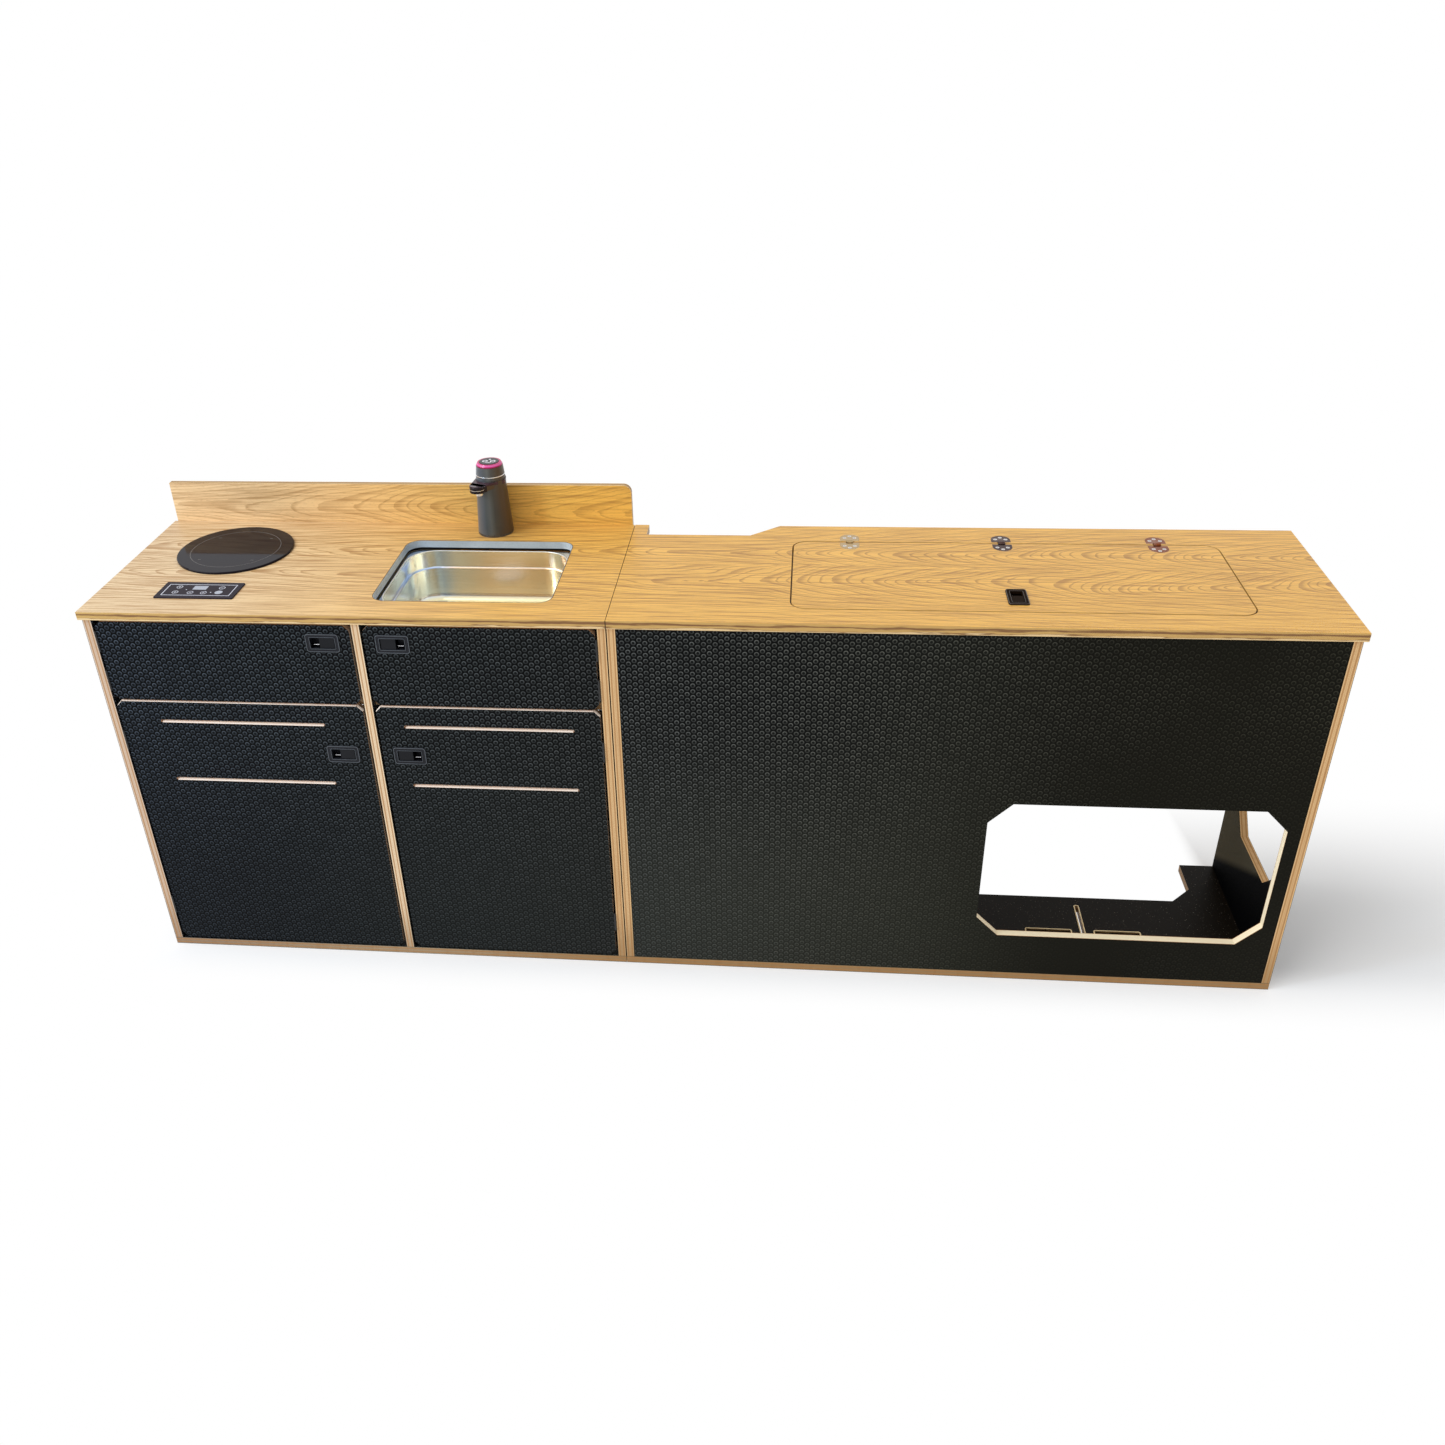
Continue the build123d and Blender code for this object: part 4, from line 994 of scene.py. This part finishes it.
def disc(name, centre, radius, height, line=None, rounding=0.0, sides=96):
    """A round flat plate, or a ring of the given line width."""
    piece = start(
        name, bpy.ops.mesh.primitive_circle_add,
        vertices=sides, radius=radius, fill_type="NGON", location=centre,
    )
    settle(piece)
    return raise_outline(piece, height, line, rounding)


print("plates and discs ready")

# %% [markdown]
# ## Lining of the sink cut-out
#
# The cut edge of the worktop round the sink is sealed with a grey band. It
# could be painted on the board, but a lining is a part of its own that the
# joiner fits, so it is a thin rounded frame as deep as the board. A black
# bead closes its foot, and also stands for the shade under the worktop's edge.
# A fine dark line runs round the top of the cut.

# %% Lining of the sink cut-out
cut_length = 0.311
cut_width = 0.257
cut_corner = 0.025
lining = 0.0007
lining_below_top = 0.0002
bead_width = lining * 1.5
bead_height = 0.0019
outline = 0.0009
outline_height = 0.0001
sink = box_middle("sink_pan")
lining_foot = top_low.z + bead_height

grey_lining = coated("grey_lining", (0.40, 0.46, 0.50), (0.50, 0.57, 0.62), 0.3, grain=300.0)
cutout_lining = plate(
    "cutout_lining", (sink.x, sink.y, lining_foot), cut_length, cut_width, cut_corner,
    top_high.z - lining_below_top - lining_foot, line=lining,
)
finish_piece(cutout_lining, grey_lining, "cabinet")
seal_and_shade_bead = plate(
    "seal_and_shade_bead", (sink.x, sink.y, top_low.z), cut_length, cut_width, cut_corner, bead_height, line=bead_width
)
finish_piece(seal_and_shade_bead, seal_foam, "cabinet")
cut_outline = plate(
    "cut_outline", (sink.x, sink.y, top_high.z), cut_length + 2 * outline, cut_width + 2 * outline,
    cut_corner + outline, outline_height, line=outline,
)
finish_piece(cut_outline, lid_nylon, "cabinet")

# %% [markdown]
# ## Rim and strainer of the sink
#
# Where the bowl meets the pan's flange the steel is bent sharply, and that
# edge shines. A fine rounded line laid on it gives the shine at little cost.
# The strainer is a thin disc with seven holes. They are cut with one Boolean
# modifier, because a real hole shows the dark waste below it.

# %% Rim of the bowl
bowl_length = 0.301
bowl_width = 0.241
bowl_corner = 0.052
bowl_line = 0.0013
bowl_line_width = bowl_line * 1.6
bowl_line_height = 0.0012
bowl_line_round = 0.0005
bowl_rim = plate(
    "bowl_rim", (sink.x, sink.y, pan_high.z), bowl_length + bowl_line, bowl_width + bowl_line, bowl_corner,
    bowl_line_height, line=bowl_line_width, rounding=bowl_line_round,
)
finish_piece(bowl_rim, polished_rim, "cabinet")

# %% Strainer of the sink
strainer_radius = 0.0292
strainer_sheet = 0.0008
strainer_lift = 0.0001
hole_radius = 0.0024
hole_circle = 0.0100
drill_length = 0.01
waste = box_middle("sink_waste")
strainer_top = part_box("sink_waste")[1].z + strainer_lift

sink_strainer = disc(
    "sink_strainer", (waste.x, sink.y, strainer_top), strainer_radius, strainer_sheet, rounding=0.0002
)
hole_places = [(0.0, 0.0)]
for step in range(6):
    angle = math.radians(60 * step)
    hole_places.append((hole_circle * math.cos(angle), hole_circle * math.sin(angle)))
drills = []
for right, back in hole_places:
    drills.append(start(
        "drill", bpy.ops.mesh.primitive_cylinder_add, vertices=20, radius=hole_radius, depth=drill_length,
        location=(waste.x + right, sink.y + back, strainer_top),
    ))
drill = merge("drills", drills)
cut = sink_strainer.modifiers.new("cut", "BOOLEAN")
cut.operation = "DIFFERENCE"
cut.object = drill
bpy.ops.object.select_all(action="DESELECT")
bpy.context.view_layer.objects.active = sink_strainer
bpy.ops.object.modifier_apply(modifier=cut.name)
bpy.data.objects.remove(drill)
finish_piece(sink_strainer, polished_rim, "cabinet")

# %% [markdown]
# ## Pale lips of the slots and doors
#
# The slots of the lower doors are cut with a router, and so are the doors'
# top corners. Their lower lips are bare birch and catch the light from the
# front, which makes them the brightest lines on the black doors. Colour on
# the door's own edge would stay dark inside a slot six millimetres high. A
# thin strip with a sloping top is laid there instead, painted nearly white,
# paler than the birch elsewhere, as a painted highlight.

# %% Values of the lips
slot_length = 0.300
slot_height = 0.006
slot_pitch = 0.122
slots_below_top = 0.100
door_chamfer = 0.010
door_gap = 0.004
lip_depth = 0.0050
lip_front = 0.0003
lip_back = 0.0026
lip_proud = 0.0002
lip_side_gap = 0.0002
lip_end_taper = 0.002
lip_rounding = 0.00012
slot_lip_length = slot_length - slot_height * 0.6
corner_lip_length = door_chamfer * 1.45
corner_lip_back = lip_back * 0.5
top_lip_back = lip_back * 0.35
lip_highlight = coated("lip_highlight", (0.98, 0.80, 0.66), (1.0, 0.88, 0.76), 0.6, gloss=0.2, grain=400.0)
print("slot lip", round(slot_lip_length * 1000, 1), "mm long")

# %% Pale lips
def lip(name, middle, front, foot, length, back_height):
    """A strip with a sloping top, lowest at the front, and tapered ends."""
    centre = (middle, front + lip_depth / 2 - lip_proud, foot + back_height / 2)
    piece = start_sized(name, bpy.ops.mesh.primitive_cube_add, (length, lip_depth, back_height), centre)
    pick(piece, lambda co: co.y < front + lip_depth / 2 and co.z > foot + back_height / 2)
    bpy.ops.transform.translate(value=(0.0, 0.0, lip_front - back_height))
    bpy.ops.object.mode_set(mode="OBJECT")
    pick(piece, lambda co: co.y < front + lip_depth / 2)
    bpy.ops.transform.resize(
        value=((length - lip_end_taper) / length, 1.0, 1.0), center_override=(middle, front, foot)
    )
    bpy.ops.object.mode_set(mode="OBJECT")
    soften(piece, lip_rounding)
    return piece


def corner_lip(name, right, top, front, way):
    """The same strip along a door's chamfered top corner, on its left (-1) or right (1) side."""
    piece = lip(name, 0.0, 0.0, 0.0, corner_lip_length, corner_lip_back)
    turn = Matrix.Rotation(math.radians(45 * way), 4, "Y")
    piece.matrix_world = Matrix.Translation((right, front, top)) @ turn
    settle(piece)
    return piece


for door in doors[2:]:
    low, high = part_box(door + "_door")
    middle = (low.x + high.x) / 2
    lips = [lip("top_lip", middle, low.y, high.z, high.x - low.x - 2 * door_chamfer, top_lip_back)]
    for edge, way in ((low.x, -1), (high.x, 1)):
        lips.append(corner_lip(
            "corner_lip", edge - way * door_chamfer / 2, high.z - door_chamfer / 2, low.y, way
        ))
    for step in (-0.5, 0.5):
        slot_floor = high.z - slots_below_top + step * slot_pitch - slot_height / 2
        lips.append(lip("slot_lip", middle, low.y, slot_floor + lip_side_gap, slot_lip_length, lip_back))
    finish_piece(merge(door + "_door_lips", lips), lip_highlight, door + "_door")

# %% [markdown]
# ## Foam strips behind the doors
#
# A van shakes, so its doors close on strips of black foam. They are glued to
# the boards just behind the doors, and they close the gaps beside them too,
# where their black also stands for the shade inside the unit.
# Strips of seal could be one frame for each door, but they are sold by the
# metre and stop above and below the keeper blocks at the divider.

# %% Foam strips behind the doors
foam_width = 0.0090
foam_depth = 0.0040
foam_inset = 0.0004
foam_margin = 0.0010
foam_rounding = 0.0012
keeper_reach = 0.0180
shelf_low, shelf_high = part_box("kitchen_shelves")
divider_low, divider_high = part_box("kitchen_divider")
strips = []
for door in doors:
    low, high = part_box(door + "_door")
    bottom = foam_margin + (low.z if "lower" in door else shelf_high.z)
    top = (shelf_low.z if "lower" in door else top_low.z) - foam_margin
    latch_z = box_middle(door + "_latch_housing").z
    for edge, way in ((low.x - door_gap, 1), (high.x + door_gap, -1)):
        spans = [(bottom, top)]
        if abs(edge - divider_low.x) < door_gap or abs(edge - divider_high.x) < door_gap:
            spans = [(bottom, latch_z - keeper_reach), (latch_z + keeper_reach, top)]
        for foot, head in spans:
            centre = (edge + way * foam_width / 2, high.y + foam_inset + foam_depth / 2, (foot + head) / 2)
            size = (foam_width, foam_depth, head - foot)
            strip = start_sized("foam_strip", bpy.ops.mesh.primitive_cube_add, size, centre)
            soften(strip, foam_rounding, 3)
            strips.append(strip)
finish_piece(merge("door_foam_strips", strips), seal_foam, "cabinet")

# %% [markdown]
# ## Groove and pockets of the locker's base
#
# The base has a groove and two pockets, and their routed edges show as pale
# lines on the black film. The lines are painted nearly white, paler than the
# birch elsewhere, a painted highlight where the cuts' walls catch the light.
# The edges could be picked out on the board itself, but a flat rounded line
# round each keeps the same width all the way.

# %% Pale edges of the groove and pockets
groove_x = 0.7295
groove_y = -0.072
groove_length = 0.144
groove_width = 0.006
pocket_pitch = 0.129
pocket_length = 0.084
pocket_width = 0.060
pocket_corner = 0.004
pocket_y = -0.105
edge_line = 0.0022
edge_height = 0.0003
groove_corner = groove_width / 2 + edge_line * 0.9
base_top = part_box("locker_base")[1].z
cut_highlight = coated("cut_highlight", (0.92, 0.68, 0.36), (1.0, 0.80, 0.48), 0.6, gloss=0.2, grain=400.0)
cut_lines = [plate(
    "groove_line", (groove_x, groove_y, base_top), groove_width + 2 * edge_line,
    groove_length + 2 * edge_line, groove_corner, edge_height, line=edge_line,
)]
for side in (-0.5, 0.5):
    cut_lines.append(plate(
        "pocket_line", (groove_x + side * pocket_pitch, pocket_y, base_top), pocket_length + 2 * edge_line,
        pocket_width + 2 * edge_line, pocket_corner, edge_height, line=edge_line,
    ))
finish_piece(merge("base_cut_edges", cut_lines), cut_highlight, "cabinet")

# %% [markdown]
# ## Latch rims
#
# Each latch has a raised rim round its bezel and a finer one round the
# window. Their colour is lighter than the bezel, a painted highlight on their
# tops. The inner rim could be cut into the bezel, but a rounded line laid on it
# gives the same highlight with few faces. One latch is modelled in the plane of
# a table, and copies are turned to the doors and the lid. A short steel pin
# shows in the finger recess.

# %% Latch values
bezel_length = 0.058
bezel_width = 0.034
bezel_corner = 0.005
bezel_inset = 0.0006
window_length = 0.0430
window_width = 0.0206
window_centre = 0.0003
window_margin = 0.0022
window_corner = 0.0025
rim_width = 0.0013
window_rim_width = rim_width * 0.65
rim_height = 0.0008
rim_round = 0.0003
pin_length = 0.0100
pin_radius = 0.0007
pin_from_centre = -0.0125
pin_below_centre = 0.0055
pin_depth = 0.0060
rim_highlight_nylon = coated("rim_highlight_nylon", (0.050, 0.058, 0.068), (0.085, 0.096, 0.110), 0.28, gloss=0.5)
lid_rim_highlight_nylon = coated("lid_rim_highlight_nylon", (0.040, 0.030, 0.024), (0.060, 0.046, 0.038), 0.3, gloss=0.4)
print("window rim", round(window_rim_width * 1000, 2), "mm wide")

# %% Latch rims
def latch_rim(name):
    outer = plate(
        "outer", (0, 0, 0), bezel_length - bezel_inset, bezel_width - bezel_inset, bezel_corner,
        rim_height, rim_width, rim_round,
    )
    inner = plate(
        "inner", (window_centre, 0, 0), window_length + window_margin, window_width + window_margin,
        window_corner, rim_height, window_rim_width, rim_round,
    )
    return merge(name, [outer, inner])


def latch_frame(latch):
    """A latch's face: its centre, the way to its bolt and the way out of the face."""
    low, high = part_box(latch + "_latch_housing")
    centre = (low + high) / 2
    if latch == "lid":
        return Vector((centre.x, centre.y, high.z)), Vector((0, -1, 0)), Vector((0, 0, 1))
    way = 1 if box_middle(latch + "_latch_bolt").x > centre.x else -1
    return Vector((centre.x, low.y, centre.z)), Vector((way, 0, 0)), Vector((0, -1, 0))


def place_on_latch(piece, latch):
    centre, along, out = latch_frame(latch)
    turn = Matrix((along, out.cross(along), out)).transposed().to_4x4()
    piece.matrix_world = Matrix.Translation(centre) @ turn
    settle(piece)


latch_bodies = {door: door + "_door" for door in doors}
latch_bodies["lid"] = "lid"
for latch in latches:
    rim = latch_rim(latch + "_latch_rim")
    place_on_latch(rim, latch)
    finish_piece(rim, lid_rim_highlight_nylon if latch == "lid" else rim_highlight_nylon, latch_bodies[latch])

# %% Pins in the finger recesses
def latch_pin(name, side):
    piece = start(
        name, bpy.ops.mesh.primitive_cylinder_add, vertices=16, radius=pin_radius, depth=pin_length,
        location=(pin_from_centre, side, -pin_depth), rotation=(0, math.pi / 2, 0),
    )
    settle(piece)
    soften(piece, pin_radius * 0.4)
    return piece


for latch in latches:
    centre, along, out = latch_frame(latch)
    lower_side = -pin_below_centre if out.cross(along).z >= 0 else pin_below_centre
    pin = latch_pin(latch + "_latch_pin", lower_side)
    place_on_latch(pin, latch)
    finish_piece(pin, chrome, latch_bodies[latch])

# %% [markdown]
# ## Marks on the hob
#
# A fine ring and four short ticks show where a pan goes. They are printed on
# the glass. A print is as thin as paint, so a plate a tenth of a millimetre
# high stands for it.

# %% Marks on the hob
print_height = 0.0001
zone_radius = 0.0815
zone_line = 0.0007
tick_reach = zone_radius * 0.86
tick_length = 0.006
tick_width = 0.0009
tick_corner = 0.0003
hob = box_middle("hob_glass")
hob_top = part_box("hob_glass")[1].z
print_grey = coated("print_grey", (0.13, 0.12, 0.12), (0.17, 0.16, 0.15), 0.4)
marks = [disc("hob_zone_mark", (hob.x, hob.y, hob_top), zone_radius, print_height, line=zone_line)]
for quarter in range(4):
    angle = math.radians(45 + 90 * quarter)
    tick_place = beside(hob, tick_reach * math.cos(angle), tick_reach * math.sin(angle), hob_top)
    marks.append(plate("tick", tick_place, tick_length, tick_width, tick_corner, print_height))
finish_piece(merge("hob_zone_mark", marks), print_grey, "cabinet")

# %% [markdown]
# ## Touch panel
#
# The panel has a thin pale frame, a display, a light round spot and a few
# plain symbols. They are generic: rings with a bar or a cross, and small
# dots. Each is a plate as thin as the print on the hob.

# %% Touch panel
panel = box_middle("control_panel")
panel_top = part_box("control_panel")[1].z
frame_length = 0.123
frame_width = 0.044
frame_corner = 0.0008
frame_line = 0.0014
display_place = (-0.0015, 0.0087)
display_length = 0.025
display_width = 0.0145
display_corner = 0.0015
print_pale = coated("print_pale", (0.62, 0.62, 0.70), (0.74, 0.74, 0.80), 0.4)
print_white = coated("print_white", (0.80, 0.80, 0.82), (0.88, 0.88, 0.90), 0.4)
display_tone = coated("display_tone", (0.36, 0.38, 0.44), (0.46, 0.48, 0.54), 0.3)


def on_panel(place):
    return beside(panel, *place, panel_top)


panel_frame = plate(
    "panel_frame_line", on_panel((0, 0)), frame_length, frame_width, frame_corner, print_height,
    line=frame_line,
)
finish_piece(panel_frame, print_pale, "cabinet")
display = plate(
    "panel_display", on_panel(display_place), display_length, display_width, display_corner, print_height
)
finish_piece(display, display_tone, "cabinet")

# %% Symbols of the panel
key_radius = 0.0055
key_line = 0.0010
bar_length = 0.0048
bar_width = 0.0012
bar_corner = 0.0004
key_places = [(-0.040, 0.0110), (-0.040, -0.0095), (-0.0125, -0.0105), (0.0115, -0.0105), (0.0375, 0.0095)]
cross_keys = key_places[:2] + key_places[3:4]
dot_places = [(-0.0240, 0.001), (0.0240, -0.009)]
dot_radius = 0.0012
sensor_place = (0.038, -0.0085)
sensor_radius = 0.0068
symbols = []
for place in key_places:
    symbols.append(disc("key", on_panel(place), key_radius, print_height, line=key_line, sides=40))
    symbols.append(plate("key_bar", on_panel(place), bar_length, bar_width, bar_corner, print_height))
for place in cross_keys:
    symbols.append(plate("key_post", on_panel(place), bar_width, bar_length, bar_corner, print_height))
for place in dot_places:
    symbols.append(disc("small_dot", on_panel(place), dot_radius, print_height, sides=24))
finish_piece(merge("panel_symbols", symbols), print_pale, "cabinet")
round_sensor = disc("round_sensor", on_panel(sensor_place), sensor_radius, print_height, sides=64)
finish_piece(round_sensor, display_tone, "cabinet")

# %% [markdown]
# ## Tap trims
#
# The tap has a bright band at its neck, a gloss black cover on the tip of
# its beak with a fine bright line round it, a plum visor that slopes over
# the beak, and four small signs on its button. The beak's outline is a circle
# whose rear half is moved back into the body and widened, which is how the
# solid's outline was drawn too. Cover and line need only the tip, so a
# bisect cuts the rest away.

# %% Neck band
tap = box_middle("tap_head")
tap_low, tap_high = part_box("tap_head")
band_height = 0.0014
band_width = 0.0016
band_round = 0.0003
band_rise = 0.0065
band_proud = 0.0004
head_slope = 0.104
band_radius = (tap_high.x - tap_low.x) / 2 - head_slope * band_rise + band_proud
neck_band = disc(
    "tap_neck_band", (tap.x, tap.y, tap_low.z + band_rise), band_radius, band_height,
    line=band_width, rounding=band_round,
)
finish_piece(neck_band, chrome, "tap_body")

# %% Values of the beak
beak_yaw = math.radians(22.0)
beak_reach = 0.0435
beak_radius = 0.0140
beak_height = 0.0122
beak_root = 0.0245
visor_root = 0.0280
visor_height = 0.0016
visor_proud = 0.0001
visor_round = 0.0006
visor_slope = math.radians(9.0)
cover_from = 0.0370
cover_proud = 0.0005
cover_round = 0.0010
beak_overlap = 0.0006
beak_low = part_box("tap_aerator")[1].z
beak_high = beak_low + beak_height
line_rise = 0.0050
line_proud = 0.0007
line_height = 0.0006
line_width = 0.0012
way_out = Vector((-math.sin(beak_yaw), -math.cos(beak_yaw), 0.0))
print("beak from", round(beak_low, 4), "to", round(beak_high, 4))

# %% Beak covers
def beak_shape(name, low, height, proud, rounding, root, slope=0.0):
    """The beak's outline, made with the beak straight to the front and then turned by its yaw."""
    tip_y = tap.y - beak_reach
    piece = start(
        name, bpy.ops.mesh.primitive_circle_add,
        vertices=64, radius=beak_radius + proud, fill_type="NGON", location=(tap.x, tip_y, low),
    )
    settle(piece)
    pick(piece, lambda co: co.y > tip_y - 0.0001)
    wider = root / (beak_radius + proud)
    bpy.ops.transform.resize(value=(wider, wider, 1.0), center_override=(tap.x, tip_y, low))
    bpy.ops.transform.translate(value=(0.0, beak_reach, 0.0))
    bpy.ops.object.mode_set(mode="OBJECT")
    thicken(piece, height)
    if slope:
        pick(piece, lambda co: co.z > low + height / 2)
        bpy.ops.transform.rotate(
            value=slope, orient_axis="X", center_override=(tap.x, tip_y - beak_radius, low + height)
        )
        bpy.ops.object.mode_set(mode="OBJECT")
    soften(piece, rounding, 3)
    turn = Matrix.Translation((tap.x, tap.y, 0)) @ Matrix.Rotation(-beak_yaw, 4, "Z")
    piece.matrix_world = turn @ Matrix.Translation((-tap.x, -tap.y, 0))
    settle(piece)
    return piece


def keep_tip(piece, distance):
    """Cuts away all that lies nearer than this to the tap's axis."""
    settle(piece)
    pick_all()
    edge = Vector((tap.x, tap.y, beak_low)) + way_out * distance
    bpy.ops.mesh.bisect(plane_co=edge, plane_no=way_out, use_fill=True, clear_inner=True)
    bpy.ops.object.mode_set(mode="OBJECT")


beak_cover = beak_shape(
    "beak_cover", beak_low - beak_overlap, beak_height, cover_proud, cover_round, beak_root
)
keep_tip(beak_cover, cover_from)
finish_piece(beak_cover, beak_gloss, "tap_body")
beak_top = beak_shape(
    "beak_top", beak_high - beak_overlap, visor_height, visor_proud, visor_round, visor_root, visor_slope
)
finish_piece(beak_top, plum_gloss, "tap_body")
tip = Vector((tap.x, tap.y, beak_low + line_rise)) + way_out * beak_reach
beak_line = disc("beak_line", tip, beak_radius + line_proud, line_height, line=line_width, sides=64)
keep_tip(beak_line, beak_reach)
finish_piece(beak_line, chrome, "tap_body")

# %% Button signs
sign_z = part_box("tap_button")[1].z
ring_side = 0.0072
ring_back = -0.001
ring_radius = 0.0052
sign_line = 0.0020
sign_dot_back = 0.0085
sign_dot_radius = 0.0022
sign_bar_back = -0.0088
sign_bar_length = 0.0100
sign_bar_corner = 0.0008
signs = []
for side in (-ring_side, ring_side):
    ring_place = beside(tap, side, ring_back, sign_z)
    signs.append(disc("sign_ring", ring_place, ring_radius, print_height, line=sign_line, sides=40))
dot_place = beside(tap, 0.0, sign_dot_back, sign_z)
signs.append(disc("sign_dot", dot_place, sign_dot_radius, print_height, sides=24))
bar_place = beside(tap, 0.0, sign_bar_back, sign_z)
signs.append(plate("sign_bar", bar_place, sign_bar_length, sign_line, sign_bar_corner, print_height))
finish_piece(merge("button_signs", signs), print_white, "tap_button")

# %% [markdown]
# ## Floor and light
#
# The unit stands on a plain pale floor in front of white. One broad lamp
# from the upper left gives the soft shadow at the right, a cool lamp stands
# for a window at the left, and a white world fills the rest. The floor fades
# to pure white away from the unit. More light would do that too, but it
# would bleach the unit. The Light Path node tells what the camera, a mirror
# or glass sees from what lights the unit, so the fade is seen and lights
# nothing.

# %% Floor values
floor_size = 24.0
floor_drop = 0.0005
floor_tone = (0.92, 0.92, 0.92, 1)
fade_right = (1.35, 1.95)
fade_left = (-0.95, -1.10)
fade_front = (-0.13, -0.31)
fade_back = (0.02, 0.45)
behind_side = (1.04, 0.98)
behind_front = (-0.20, -0.10)


def seen_directly(tree):
    """1 for what the camera, a mirror or glass sees, and 0 for what lights a surface."""
    path = put(tree, "ShaderNodeLightPath").outputs
    return largest(path["Is Camera Ray"], path["Is Glossy Ray"], path["Is Transmission Ray"])


print("floor", floor_size, "m across")

# %% Floor
floor = start("floor", bpy.ops.mesh.primitive_plane_add, size=floor_size, location=(0, 0, -floor_drop))
settle(floor)
floor_material, shader, place, normal = new_finish("floor_white", 0.9, gloss=0.2)
shader.inputs["Base Color"].default_value = floor_tone
tree = floor_material.node_tree
right, back = split(place)[0], split(place)[1]
behind = times(spread_value(right, *behind_side), spread_value(back, *behind_front))
fade = largest(
    spread_value(right, *fade_right), spread_value(right, *fade_left),
    spread_value(back, *fade_front), spread_value(back, *fade_back), behind,
)
mixer = put(tree, "ShaderNodeMixShader")
feed(mixer.inputs[0], times(fade, seen_directly(tree)))
feed(mixer.inputs[1], shader.outputs[0])
feed(mixer.inputs[2], put(tree, "ShaderNodeEmission").outputs[0])
output = next(n for n in tree.nodes if n.type == "OUTPUT_MATERIAL")
feed(output.inputs["Surface"], mixer.outputs[0])
floor.data.materials.append(floor_material)

# %% World and lamps
world_fill = 0.66
lamp_strength = 1.5
lamp_softness = 50.0
lamp_direction = Vector((0.80, 0.30, -0.85))
window_power = 20.0
window_colour = (0.60, 0.78, 1.0)
window_size = (0.35, 1.4)
window_place = Vector((-2.1, -1.3, 1.7))
window_aim = Vector((-0.5, -0.05, 0.6))

world = bpy.data.worlds.new("white_room")
world.use_nodes = True
bpy.context.scene.world = world
background = world.node_tree.nodes["Background"]
background.inputs["Color"].default_value = (1.0, 1.0, 1.0, 1)
strength = plus(times(seen_directly(world.node_tree), 1.0 - world_fill), world_fill)
feed(background.inputs["Strength"], strength)

lamp_data = bpy.data.lights.new("soft_lamp", "SUN")
lamp_data.energy = lamp_strength
lamp_data.angle = math.radians(lamp_softness)
lamp = add_object("soft_lamp", lamp_data)
lamp.rotation_euler = lamp_direction.to_track_quat("-Z", "Y").to_euler()

window_data = bpy.data.lights.new("cool_window", "AREA")
window_data.shape = "RECTANGLE"
window_data.size, window_data.size_y = window_size
window_data.energy = window_power
window_data.color = window_colour
window = add_object("cool_window", window_data)
window.location = window_place
window.rotation_euler = (window_aim - window_place).to_track_quat("-Z", "Y").to_euler()
print("lamps and world ready")
